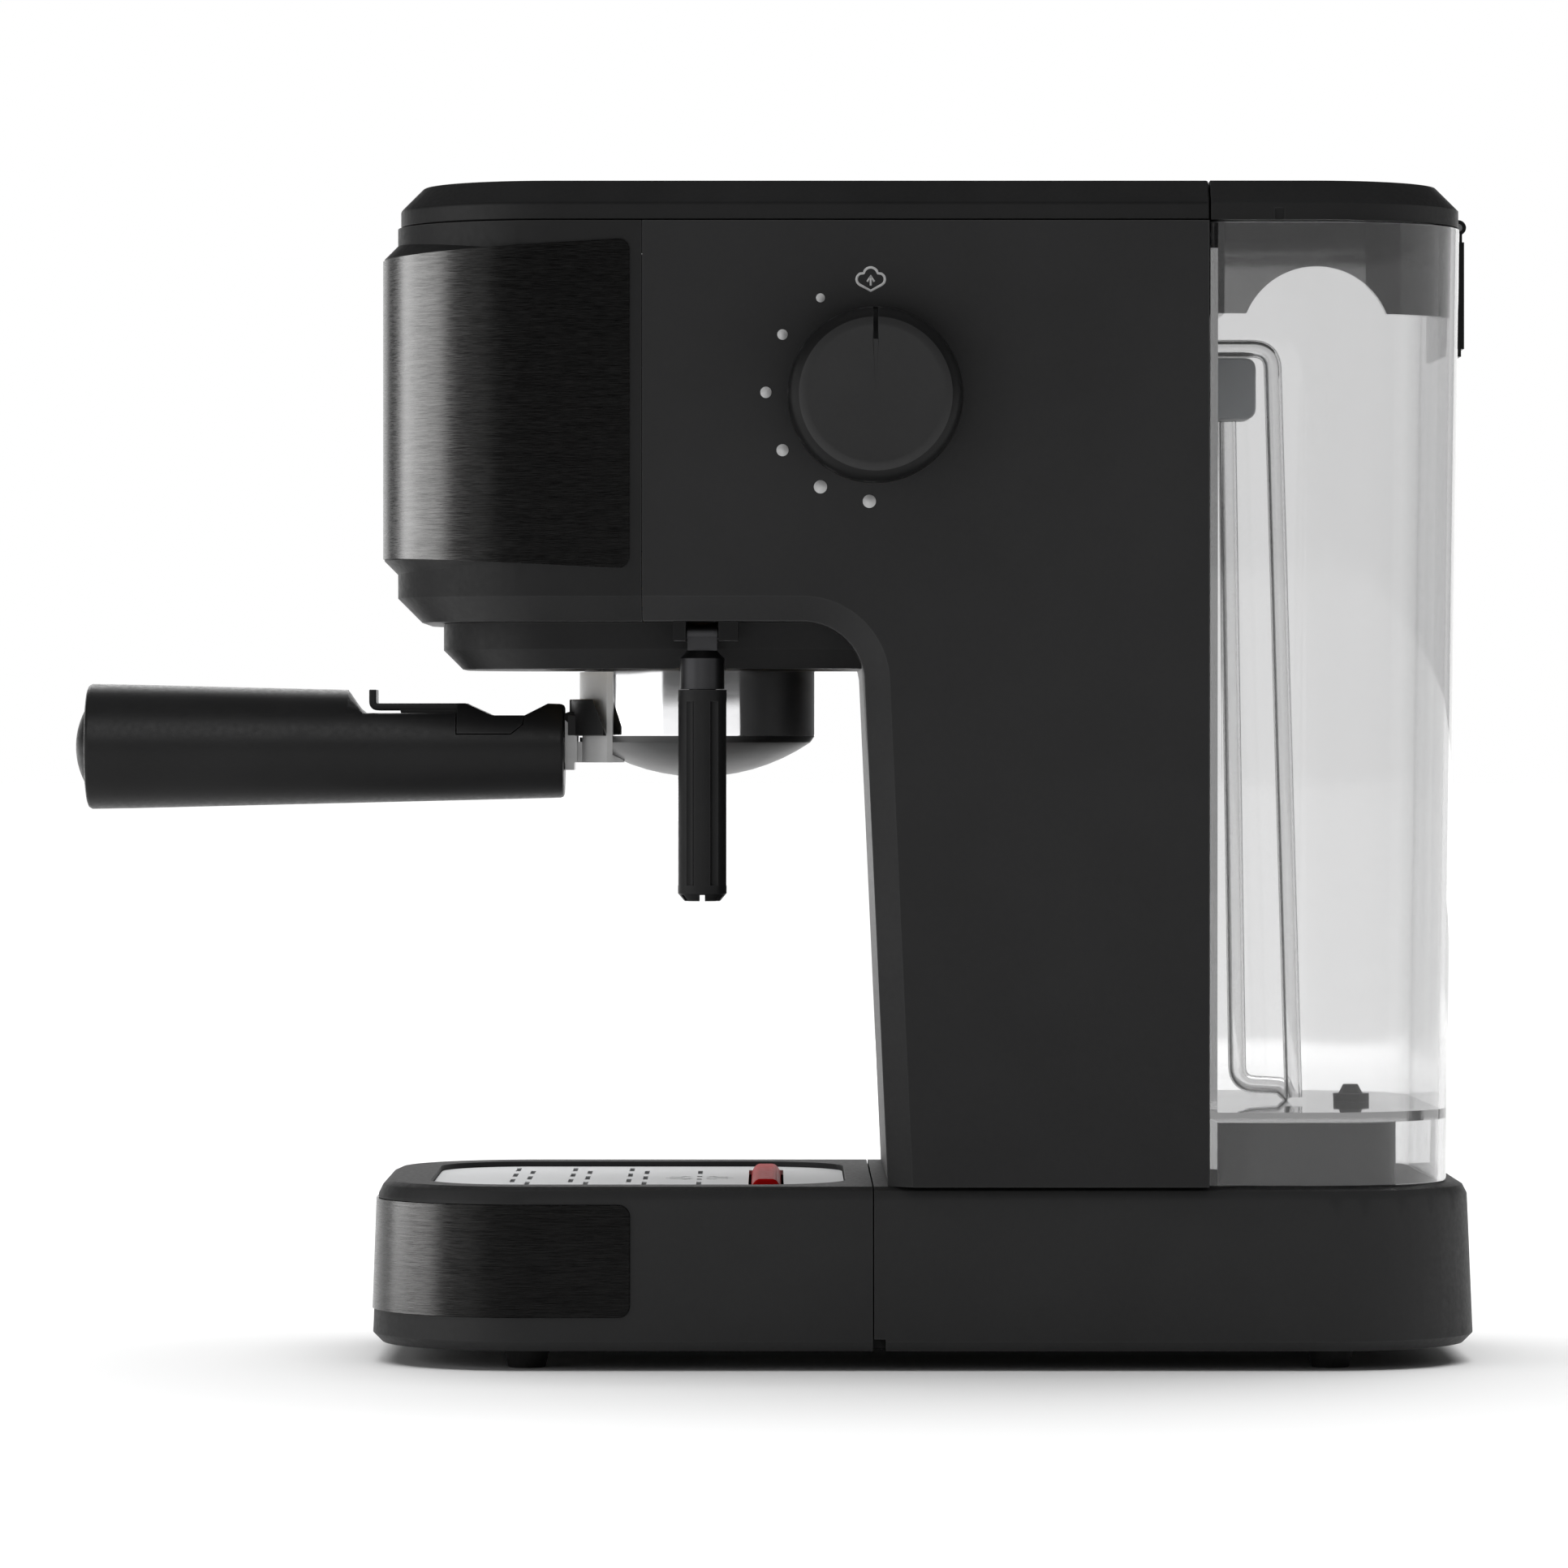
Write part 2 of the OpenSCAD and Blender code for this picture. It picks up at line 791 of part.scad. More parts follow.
module filter_basket() {
    color("#cfcfcf")
    difference() {
        union() {
            translate([0, 0, 170]) cylinder(h = 23.7, r = 27.6);
            translate([0, 0, 193.65]) cylinder(h = 0.5, r = cup_r - 0.4);
        }
        translate([0, 0, 170.6]) cylinder(h = 40, r = 27);
        for (x = [-16 : 8 : 16], y = [-16 : 8 : 16])
            translate([x, y, 160]) cylinder(h = 20, r = 0.5);
    }
}

// Twin spout below the dish
module spout() {
    arm = 11;
    color("#c9c9c9")
    difference() {
        union() {
            translate([0, 0, 140]) cylinder(h = 11.6, r = 6);
            translate([0, 0, 142]) bar_x(-arm, arm, 5);
            for (x = [-arm, arm])
                translate([x, 0, 0]) {
                    translate([0, 0, 142]) sphere(5);
                    translate([0, 0, 128]) cylinder(h = 14, r1 = 4.2, r2 = 5);
                }
        }
        translate([0, 0, 142]) cylinder(h = 20, r = 3);
        translate([0, 0, 142]) bar_x(-arm, arm, 2.6);
        for (x = [-arm, arm])
            translate([x, 0, 120]) cylinder(h = 24, r = 2.6);
    }
}

// Metal tang between the cup and the handle, with a band round the front of the cup
module portafilter_neck() {
    color("#bdbdbd") {
        difference() {
            union() {
                box([-neck_half, -46, 155.6], [neck_half, -20, 161]);
                box([-neck_half, -35.4, 153.6], [neck_half, -33, 156]);
                box([-9, -35.4, 155.6], [9, -32.2, 158]);
                for (x = [-9, 7.2])
                    box([x, -35.4, 156], [x + 1.8, -32.2, lever_z + 2.4]);
                translate([0, lever_y, lever_z]) bar_x(-8.5, 8.5, 1);
            }
            translate([0, 0, dish_z]) sphere(dish_r + fine);
            translate([0, 0, 162.3]) cylinder(h = 50, r = cup_r + fine);
        }
        difference() {
            intersection() {
                ring(155.6, skirt_bottom - 0.6, cup_r + fine, cup_r + 1.2);
                box([-20.5, -50, 0], [20.5, -15, 200]);
            }
            box([-lever_half - 0.6, -50, lever_z - 3.8], [lever_half + 0.6, 0, lever_z + 3.8]);
        }
    }
}

// Round tapered blank of the handle
module grip_blank() {
    length = handle_rear_y - handle_front_y;
    translate([0, handle_front_y, handle_z]) rotate([-90, 0, 0]) rotate_extrude() polygon([
        [0, 0], [handle_front_r - 1.2, 0], [handle_front_r, 1.2],
        [handle_rear_r, length - 1], [handle_rear_r - 1, length], [0, length]
    ]);
}

// Grip, cut down along the top for the basket lever and at both sides for its pads
module handle() {
    color("#1c1c1c")
    difference() {
        grip_blank();
        across(-handle_reach, handle_reach) polygon([
            [recess_y, recess_z], [-60, recess_z], [-60, 200], [recess_y - 4, 200],
            [recess_y - 4, handle_z + 13]
        ]);
        for (x = [-handle_reach, rib_half])
            across(x, x + handle_reach - rib_half) polygon(pad_recess);
        box([-7.6, -80, handle_z + 4.4], [7.6, handle_rear_y + 1, 200]);
        box([-7.6, -41, handle_z + 2.4], [7.6, handle_rear_y + 1, 200]);
        box([-neck_half - fine, -46 - fine, 155.6 - fine], [neck_half + fine, 0, 161 + fine]);
        translate([0, 0, handle_z]) bar_y(handle_front_y - 1, handle_front_y + 3, 11.05);
    }
}

module handle_cap() {
    bulge = 20.5;
    color("#181818")
    intersection() {
        translate([0, 0, handle_z]) bar_y(handle_front_y - 5, handle_front_y + 2.9, 11);
        translate([0, handle_front_y - 3.2 + bulge, handle_z]) sphere(bulge);
    }
}

// Thumb lever that holds the filter basket: a channel with a pad at each side and a saddle round the cup
module basket_lever() {
    color("#151515")
    difference() {
        union() {
            across(-lever_half, lever_half) polygon([
                [-87.2, 174.8], [-87.2, 169.2], [-79, 169.2], [-78, 165.4], [-36, 165.4],
                [-36, 168], [-54.6, 168], [-61.6, 171.2], [-83.9, 171.2], [-83.9, 174.8]
            ]);
            intersection() {
                grip_blank();
                across(-handle_reach, handle_reach) polygon(pad);
            }
            box([-5, -40, 162.6], [5, -cup_r - 2.4, 168]);
            translate([0, lever_y, lever_z]) bar_x(-lever_half, lever_half, 3);
            difference() {
                ring(162.6, 172.2, cup_r + 2.4, cup_r + 3.8);
                box([-50, -20, 160], [50, 50, 180]);
                for (x = [-73.5, 23.5])
                    box([x, -50, 160], [x + 50, 50, 180]);
                for (x = [-9.4, rib_half])
                    box([x, -50, 160], [x + 9.4 - rib_half, 0, 168.9]);
            }
        }
        across(-5.4, 5.4) polygon([
            [-82, 160], [-82, 169.2], [-62.2, 169.2], [-55.2, 166], [-47, 166], [-47, 160]
        ]);
        translate([0, lever_y, lever_z]) bar_x(-20, 20, 1.05);
    }
}

// ---- drip tray ----

module tray_tub() {
    color("#282828")
    difference() {
        base_body(0, foot_h, base_top);
        box([-far, tray_rear, 0], [far, far, far]);
        translate([0, 0, -1]) linear_extrude(plate_top + 1.3)
            rounded_rect(-plate_half - 0.4, plate_front - 0.4, plate_half + 0.4, far, 30.4);
        translate([0, 0, grille_top - grille_t]) linear_extrude(10)
            rounded_rect(-grille_half - gap, grille_front - gap, grille_half + gap, grille_rear + gap, 24);
        translate([0, 0, plate_top + 2.7]) linear_extrude(60)
            rounded_rect(-grille_half + 3, grille_front + 3, grille_half - 3, grille_rear - 3, 21);
        wrapped_band(base_front, corner_r - 1.8, corner_r + 5) tray_band_outline(fine);
    }
}

module tray_band() {
    color("#3a3a3a")
    intersection() {
        wrapped_band(base_front, corner_r - 1.75, corner_r + 3) tray_band_outline(0);
        base_body(-band_proud, foot_h, base_top + 6);
    }
}

// Slots across the machine, side by side about x = 0
module slots(count, y) {
    pitch = 27;
    length = 15;
    width = 1.3;
    for (i = [0 : count - 1])
        translate([(i - (count - 1) / 2) * pitch - length / 2, y - width / 2]) square([length, width]);
}

module grille() {
    color("#c9cdd0")
    translate([0, 0, grille_top - grille_t]) linear_extrude(grille_t) difference() {
        rounded_rect(-grille_half, grille_front, grille_half, grille_rear, 24);
        for (y = [-47, -31.7, -16.4]) {
            slots(4, y - 2.1);
            slots(3, y + 2.1);
        }
        for (s = [-1, 1])
            translate([27 * s, 0]) slots(1, 0);
        for (i = [0 : 11])
            rotate(i * 30) translate([4.2, -0.65]) square([4.8, 1.3]);
        translate([0, float_y]) square([2 * float_half + 1.2, float_w + 1.2], center = true);
    }
}

module float() {
    color("#c01010")
    union() {
        box([-float_half, float_y - float_w / 2, 30], [float_half, float_y + float_w / 2, 44]);
        translate([0, float_y, 44]) intersection() {
            bar_x(-float_half, float_half, float_w / 2);
            box([-float_half, -float_w, -1], [float_half, float_w, 3.4]);
        }
        box([-float_half + 2, float_y - 8, plate_top + 3.2], [float_half - 2, float_y + 8, 36]);
    }
}

// ---- water tank ----

// Tank's outer form: its sides and rear lean in a little towards the bottom
module tank_form(inset, z0, z1) {
    function lean(z) = tank_r - inset - tank_draft * (tank_top - z) / (tank_top - base_top);
    rounded_body([[0, z0], [lean(z0), z0], [lean(z1), z1], [0, z1]],
        half_w - tank_r, tank_y0 + 3, tank_rear - tank_r);
}

module tank_front_cut(inset, depth) {
    box([-far, tank_y0 + inset, 0], [far, depth, far]);
}

module tank_shell() {
    color("#cfd6da", 0.35)
    difference() {
        intersection() {
            tank_form(0, base_top + gap, tank_top);
            tank_front_cut(0, far);
        }
        intersection() {
            tank_form(tank_wall, tank_floor, tank_top + 1);
            tank_front_cut(tank_wall, far);
        }
        intersection() {
            tank_form(tank_wall, 0, floor_under);
            tank_front_cut(tank_wall, far);
        }
        translate([0, valve_y, 0]) cylinder(h = 100, r = 3.1);
    }
}

// Smoked guide in the tank's mouth: a low rim with an arched skirt on the user's right, thicker at its rear
module tank_collar() {
    drop = 23.3;
    skirt_x = half_w - 30;
    thick_y = 171;
    color("#2a2a2c")
    difference() {
        intersection() {
            tank_form(tank_wall + 0.1, tank_top - drop, tank_top);
            tank_front_cut(tank_wall + 0.1, far);
        }
        intersection() {
            tank_form(tank_wall + 1.7, 0, tank_top + 1);
            box([-far, tank_y0 + tank_wall + 1.7, 0], [far, thick_y, far]);
        }
        intersection() {
            tank_form(tank_wall + 3.3, 0, tank_top + 1);
            box([-far, thick_y - 1, 0], [far, far, far]);
        }
        translate([0, 158.5, tank_top - drop - 7.4]) bar_x(-far, far, 19.4);
        box([-far, 0, 0], [skirt_x, far, tank_top - 3]);
    }
}

// Finger grip on the rear wall, with the fixed hinge knuckles
module tank_grip() {
    y_wall = tank_rear + 0.05;
    color("#161616")
    difference() {
        union() {
            box([-20, y_wall, grip_z0 + 2], [20, y_wall + 2.6, grip_z0 + 30]);
            box([-20, y_wall, grip_z0], [20, y_wall + 1.8, grip_z0 + 3]);
            for (m = [0, 1])
                mirror([m, 0, 0]) {
                    box([6.4, y_wall, 288], [13.8, y_wall + 2.6, hinge_z]);
                    translate([0, hinge_y, hinge_z]) bar_x(6.4, 13.8, 2);
                }
        }
        box([-far, 0, 0], [far, y_wall, far]);
        translate([0, hinge_y, hinge_z]) bar_x(-20, 20, 1.02);
    }
}

// Two clear tubes that run down to the floor of the tank, one of them turned in through the front wall
module pickup_tubes() {
    color("#d4dadd", 0.4) {
        translate([tube_x, 0, 0]) {
            pipe(rear_tube, tube_r);
            translate([0, 0, inlet_z]) bar_y(tank_y0 + tank_wall + 0.1, rear_tube[0][1], tube_r - 0.2);
        }
        translate([-tube_x, 0, 0]) pipe(front_tube, tube_r);
    }
}

module tube_clip() {
    color("#77797b")
    difference() {
        box([-9, tank_y0 + tank_wall + 0.1, 246], [9, 146.7, 262.2]);
        translate([-tube_x, 0, 0]) pipe(front_tube, tube_r + fine);
        translate([tube_x, 0, inlet_z]) bar_y(tank_y0, 160, tube_r + fine);
    }
}

// Poppet that closes the tank's outlet when the tank is lifted
module tank_valve() {
    color("#202020")
    translate([0, valve_y, 0]) {
        translate([0, 0, tank_floor + 0.05]) cylinder(h = 2, r = 5);
        translate([0, 0, dock_top + 0.3]) cylinder(h = 3.4, r = 2.8);
        translate([0, 0, 67.5]) cylinder(h = 3, r1 = 3.6, r2 = 2);
    }
}

module tank_lid() {
    color("#242424")
    difference() {
        union() {
            difference() {
                top_form(0, lid_seam, body_top);
                box([-far, -far, 0], [far, body_rear + 0.5, far]);
                intersection() {
                    top_form(wall, lid_seam - 1, body_top - wall);
                    box([-far, body_rear + 0.5 + wall, 0], [far, far, far]);
                }
                for (s = [-1, 1])
                    translate([s * half_w, 149, lid_seam]) cube([3, 2.5, 6], center = true);
                for (s = [-1, 1])
                    translate([s * 10.1, hinge_y, hinge_z]) bar_x(-4, 4, 2.4);
                for (s = [-1, 1])
                    translate([s * 10.1, hinge_y, hinge_z]) box([-4, -2.4, -5], [4, 5, 0]);
            }
            translate([0, hinge_y, hinge_z]) bar_x(-6, 6, 2);
            box([-6, hinge_y - 3, hinge_z - 1.4], [6, hinge_y, hinge_z + 2]);
        }
        translate([0, hinge_y, hinge_z]) bar_x(-8, 8, 1.05);
    }
}

module lid_pin() {
    color("#a8a8a8") translate([0, hinge_y, hinge_z]) bar_x(-13.6, 13.6, 1);
}

feet();
base_plate();
base_housing();
tank_dock();
cord_gland();
side_cover_right();
side_cover_left();
arch_liner();
front_shroud();
head_band();
rear_wall();
top_cover();
cup_plate();
group_skirt();
group_head();
group_gasket();
shower_screen();
screen_screw();
boiler();
heating_element();
pump_body();
pump_coil();
pump_bracket();
steam_valve();
control_board();
water_hose();
steam_pipe();
gauge_bezel();
gauge_dial();
gauge_lens();
gauge_needle();
wand_bracket();
button_power();
button_coffee();
button_steam();
knob();
valve_spindle();
wand_tube();
wand_tip();
wand_sleeve();
portafilter_cup();
filter_basket();
spout();
portafilter_neck();
handle();
handle_cap();
basket_lever();
tray_tub();
tray_band();
grille();
float();
tank_shell();
tank_collar();
tank_grip();
pickup_tubes();
tube_clip();
tank_valve();
tank_lid();
lid_pin();
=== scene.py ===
import json
import math

import bmesh
import bpy
from mathutils import Matrix, Vector


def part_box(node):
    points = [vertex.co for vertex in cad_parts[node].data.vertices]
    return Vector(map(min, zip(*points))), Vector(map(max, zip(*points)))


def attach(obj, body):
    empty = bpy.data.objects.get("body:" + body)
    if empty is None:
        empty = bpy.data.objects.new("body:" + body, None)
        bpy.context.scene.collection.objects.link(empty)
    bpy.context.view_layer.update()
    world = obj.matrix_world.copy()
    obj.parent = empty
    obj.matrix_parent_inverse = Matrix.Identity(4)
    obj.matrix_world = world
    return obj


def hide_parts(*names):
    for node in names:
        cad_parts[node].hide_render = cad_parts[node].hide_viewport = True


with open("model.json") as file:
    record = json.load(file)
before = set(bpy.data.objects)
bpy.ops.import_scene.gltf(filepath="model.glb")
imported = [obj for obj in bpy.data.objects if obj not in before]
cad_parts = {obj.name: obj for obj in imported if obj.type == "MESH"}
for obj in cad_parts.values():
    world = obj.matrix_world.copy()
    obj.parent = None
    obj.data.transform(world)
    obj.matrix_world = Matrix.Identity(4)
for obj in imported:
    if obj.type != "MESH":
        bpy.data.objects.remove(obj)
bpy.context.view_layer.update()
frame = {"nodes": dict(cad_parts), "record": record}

NODES = frame["nodes"]
MM = 0.001
TAU = 2 * math.pi
X_AXIS, Y_AXIS, Z_AXIS = Vector((1, 0, 0)), Vector((0, 1, 0)), Vector((0, 0, 1))
scene = bpy.context.scene


# ---- materials ----

class Graph:
    """A material whose shader nodes are added and linked by short calls."""

    def __init__(self, name):
        self.material = bpy.data.materials.new(name)
        self.material.use_nodes = True
        self.tree = self.material.node_tree
        self.bsdf = self.tree.nodes["Principled BSDF"]
        self.coords = self.tree.nodes.new("ShaderNodeTexCoord")

    def node(self, kind, **inputs):
        """A shader node of one kind with some of its inputs set."""
        made = self.tree.nodes.new("ShaderNode" + kind)
        for key, value in inputs.items():
            made.inputs[key.replace("_", " ")].default_value = value
        return made

    def link(self, source, target):
        self.tree.links.new(source, target)

    def mapped(self, scale):
        """Object coordinates in metres, stretched by a factor along each axis."""
        mapping = self.node("Mapping")
        mapping.inputs["Scale"].default_value = scale
        self.link(self.coords.outputs["Object"], mapping.inputs["Vector"])
        return mapping.outputs["Vector"]

    def noise(self, scale, detail=3.0, stretch=(1, 1, 1), roughness=0.5):
        """Cloudy noise with that many cycles to a metre."""
        noise = self.node("TexNoise", Scale=scale, Detail=detail, Roughness=roughness)
        self.link(self.mapped(stretch), noise.inputs["Vector"])
        return noise.outputs["Fac"]

    def cells(self, scale):
        """Distance to the nearest point of a scatter, as in spark-eroded grain."""
        cells = self.node("TexVoronoi", Scale=scale)
        self.link(self.mapped((1, 1, 1)), cells.inputs["Vector"])
        return cells.outputs["Distance"]

    def to_range(self, value, low, high, from_low=0.3, from_high=0.7):
        """Map a value from one range to another, held at both ends."""
        span = self.node("MapRange")
        span.inputs["From Min"].default_value = from_low
        span.inputs["From Max"].default_value = from_high
        span.inputs["To Min"].default_value = low
        span.inputs["To Max"].default_value = high
        self.link(value, span.inputs["Value"])
        return span.outputs["Result"]

    def mix(self, factor, first, second):
        """Blend two colours, each a tuple or the output of another node."""
        mixer = self.tree.nodes.new("ShaderNodeMix")
        mixer.data_type = "RGBA"
        factor_in, first_in, second_in = (mixer.inputs[i] for i in (0, 6, 7))
        colour_out = mixer.outputs[2]
        for socket, colour in ((first_in, first), (second_in, second)):
            if isinstance(colour, tuple):
                socket.default_value = (*colour, 1.0)
            else:
                self.link(colour, socket)
        self.link(factor, factor_in)
        return colour_out

    def wear(self, radius=0.0005, start=0.99, end=0.86):
        """1 along edges and 0 on flat faces, from how far a rounded edge would turn the normal."""
        geometry = self.tree.nodes.new("ShaderNodeNewGeometry")
        rounded = self.node("Bevel", Radius=radius)
        turn = self.tree.nodes.new("ShaderNodeVectorMath")
        turn.operation = "DOT_PRODUCT"
        self.link(geometry.outputs["Normal"], turn.inputs[0])
        self.link(rounded.outputs["Normal"], turn.inputs[1])
        return self.to_range(turn.outputs["Value"], 0.0, 1.0, start, end)

    def bump(self, *layers):
        """Layers are (height output, strength, distance in metres), the broadest first."""
        normal = None
        for height, strength, distance in layers:
            bump = self.node("Bump", Strength=strength, Distance=distance)
            self.link(height, bump.inputs["Height"])
            if normal is not None:
                self.link(normal, bump.inputs["Normal"])
            normal = bump.outputs["Normal"]
        self.link(normal, self.bsdf.inputs["Normal"])

    def set(self, **values):
        """Set values that are the same all over on the shader's own sockets."""
        for key, value in values.items():
            self.bsdf.inputs[key.replace("_", " ")].default_value = value


def scaled(colour, factor, lift=0.0):
    """Brighten or darken a colour, and lift it by a little."""
    return tuple(min(1.0, c * factor + lift) for c in colour)


def plastic(name, colour, roughness, grain=0.25, mottle=0.12, gloss=0.35):
    """Moulded plastic: fine spark-eroded grain, faint mottling, paler along its edges."""
    g = Graph(name)
    cloud = g.noise(38, 4)
    body = g.mix(g.to_range(cloud, 0, 1), scaled(colour, 1 - mottle), scaled(colour, 1 + mottle, 0.0005))
    g.link(g.mix(g.wear(), body, scaled(colour, 1.7, 0.004)), g.bsdf.inputs["Base Color"])
    g.link(g.to_range(g.noise(700, 3), roughness - 0.05, roughness + 0.06), g.bsdf.inputs["Roughness"])
    g.bump((g.noise(60, 2), 0.04, 0.0003), (g.cells(3200), grain, 0.00003))
    g.set(Specular_IOR_Level=gloss)
    return g.material


def brushed(name, colour, roughness, stretch, fine, depth=0.2, contrast=0.3, metallic=1.0):
    """Brushed sheet: short fine scratches along one direction, with darker and brighter strands."""
    g = Graph(name)
    strands = g.noise(1.0, 4, stretch, 0.6)
    scratches = g.noise(1.0, 3, fine, 0.6)
    broad = g.noise(9.0, 2)
    sheet = g.mix(g.to_range(broad, 0, 1), scaled(colour, 0.92), scaled(colour, 1.08))
    lined = g.mix(g.to_range(strands, 0, 1, 0.3, 0.7), scaled(colour, 1 - contrast), sheet)
    bright = g.mix(g.to_range(scratches, 0, 1, 0.45, 0.8), lined, scaled(colour, 1 + contrast))
    g.link(bright, g.bsdf.inputs["Base Color"])
    g.link(g.to_range(scratches, roughness - 0.07, roughness + 0.09, 0.3, 0.7), g.bsdf.inputs["Roughness"])
    g.bump((strands, depth, 0.00003), (scratches, depth, 0.00002))
    g.set(Metallic=metallic)
    return g.material


def polished(name, colour, roughness, metallic=1.0):
    """Polished metal with the faint waviness and fine wipe marks of a handled surface."""
    g = Graph(name)
    smears = g.noise(55, 5, (1, 1, 2.5))
    smeared = g.to_range(smears, 0, 1, 0.4, 0.75)
    g.link(g.mix(smeared, colour, scaled(colour, 0.88)), g.bsdf.inputs["Base Color"])
    g.link(g.to_range(smears, roughness, roughness + 0.06, 0.35, 0.75), g.bsdf.inputs["Roughness"])
    g.bump((g.noise(90, 2), 0.04, 0.0003))
    g.set(Metallic=metallic)
    return g.material


def clear(name, colour, roughness, ior=1.49, waves=0.1, deep=0.9, density=0.0):
    """Clear moulded plastic with faint flow lines down it, greyer where one looks along the wall."""
    g = Graph(name)
    flow = g.noise(30, 3, (1, 1, 0.06))
    g.link(g.to_range(flow, roughness, roughness + 0.03, 0.35, 0.75), g.bsdf.inputs["Roughness"])
    facing = g.tree.nodes.new("ShaderNodeLayerWeight")
    facing.inputs["Blend"].default_value = 0.5
    tint = g.mix(g.to_range(flow, 0, 1), colour, scaled(colour, 0.97))
    edge = g.to_range(facing.outputs["Facing"], 0, 1, 0.35, 1.0)
    g.link(g.mix(edge, tint, scaled(colour, deep)), g.bsdf.inputs["Base Color"])
    if density:
        depth = g.node("VolumeAbsorption", Density=density)
        depth.inputs["Color"].default_value = (0.0, 0.0, 0.0, 1.0)
        g.link(depth.outputs["Volume"], g.tree.nodes["Material Output"].inputs["Volume"])
    g.bump((flow, waves, 0.0006))
    g.set(Transmission_Weight=1.0, IOR=ior)
    return g.material


def printed(name, colour):
    """Pad-printed ink: slightly uneven, with a dull film."""
    g = Graph(name)
    cover = g.to_range(g.noise(900, 3), 0, 1)
    g.link(g.mix(cover, scaled(colour, 0.9), colour), g.bsdf.inputs["Base Color"])
    g.link(g.to_range(g.noise(1500, 2), 0.45, 0.6), g.bsdf.inputs["Roughness"])
    g.bump((g.noise(2400, 2), 0.15, 0.00002))
    return g.material


# Cycles to a metre along X, Y and Z: brushing round an upright band, and along a level sheet
WRAP = (90, 90, 2400)
WRAP_FINE = (260, 260, 7000)
SHEET = (3600, 60, 3600)
SHEET_FINE = (9000, 300, 9000)

# Names of the record's slots first, then looks for single pieces
RECIPES = {
    "charcoal_plastic": (plastic, dict(
        colour=(0.0225, 0.0225, 0.0228), roughness=0.52, mottle=0.06, gloss=0.30)),
    "dark_plastic": (plastic, dict(colour=(0.0098, 0.0098, 0.0100), roughness=0.47, gloss=0.25)),
    "black_plastic": (plastic, dict(colour=(0.0075, 0.0075, 0.0077), roughness=0.38, gloss=0.16)),
    "brushed_black_steel": (brushed, dict(
        colour=(0.018, 0.0178, 0.0176), roughness=0.27, stretch=WRAP, fine=WRAP_FINE, depth=0.5,
        contrast=0.55)),
    "brushed_steel": (brushed, dict(
        colour=(0.80, 0.81, 0.82), roughness=0.45, stretch=SHEET, fine=SHEET_FINE, depth=0.15, contrast=0.08,
        metallic=0.1)),
    "polished_steel": (polished, dict(colour=(0.88, 0.88, 0.89), roughness=0.04)),
    "bare_steel": (polished, dict(colour=(0.36, 0.36, 0.37), roughness=0.24)),
    "black_steel": (polished, dict(colour=(0.045, 0.045, 0.047), roughness=0.36)),
    "clear_plastic": (clear, dict(colour=(0.85, 0.85, 0.852), roughness=0.015, deep=0.5, density=9.0)),
    "smoked_plastic": (clear, dict(colour=(0.80, 0.80, 0.80), roughness=0.08, density=900.0)),
    "gauge_glass": (clear, dict(colour=(0.98, 0.99, 0.99), roughness=0.0, ior=1.45, waves=0.02)),
    "red_plastic": (plastic, dict(
        colour=(0.46, 0.003, 0.004), roughness=0.45, grain=0.08, mottle=0.06, gloss=0.04)),
    "white_dial": (plastic, dict(colour=(0.80, 0.80, 0.78), roughness=0.4, grain=0.05, mottle=0.03)),
    "grey_plastic": (plastic, dict(colour=(0.368, 0.380, 0.391), roughness=0.45)),
    "black_rubber": (plastic, dict(colour=(0.010, 0.010, 0.010), roughness=0.75, grain=0.5)),
    "brass": (polished, dict(colour=(0.62, 0.45, 0.18), roughness=0.25)),
    "cast_aluminium": (polished, dict(colour=(0.45, 0.45, 0.45), roughness=0.42)),
    "copper": (polished, dict(colour=(0.66, 0.33, 0.18), roughness=0.22)),
    "circuit_board": (plastic, dict(colour=(0.02, 0.12, 0.04), roughness=0.35)),
    "cream_plastic": (plastic, dict(colour=(0.60, 0.56, 0.44), roughness=0.5)),
    "silicone": (plastic, dict(colour=(0.6, 0.6, 0.58), roughness=0.45)),
    "grey_print": (printed, dict(colour=(0.50, 0.50, 0.50))),
    "black_print": (printed, dict(colour=(0.012, 0.012, 0.012))),
    "red_print": (printed, dict(colour=(0.45, 0.01, 0.01))),
    "clear_tube": (clear, dict(colour=(0.95, 0.95, 0.95), roughness=0.01, deep=0.12, density=70.0)),
    # Same charcoal plastic as the base, made a little darker and less glossy: painted shade, so the side
    # covers read as dark as the base under this light
    "cover_charcoal": (plastic, dict(
        colour=(0.0215, 0.0215, 0.0219), roughness=0.52, mottle=0.05, gloss=0.19)),
    "cast_neck": (polished, dict(colour=(0.50, 0.50, 0.50), roughness=0.35, metallic=0.4)),
    "plate_steel": (brushed, dict(
        colour=(0.40, 0.405, 0.41), roughness=0.38, stretch=SHEET, fine=SHEET_FINE, depth=0.15,
        contrast=0.12, metallic=0.6)),
    "chrome_cup": (polished, dict(colour=(0.86, 0.86, 0.87), roughness=0.06)),
    "satin_dish": (polished, dict(colour=(0.10, 0.10, 0.10), roughness=0.34)),
}
MATERIALS = {name: make(name, **values) for name, (make, values) in RECIPES.items()}


# ---- CAD nodes that stay ----

SLOT_OF = {row["node"]: row["material_slot"] for row in frame["record"]["subparts"]}
# Nodes with a look of their own in place of their slot's; the side covers' look is a dimmer, less glossy
# copy of the charcoal plastic, painted shade that evens them with the base
LOOK_OF = {
    "side_cover_right": "cover_charcoal", "side_cover_left": "cover_charcoal",
    "portafilter_neck": "cast_neck", "cup_plate": "plate_steel",
}
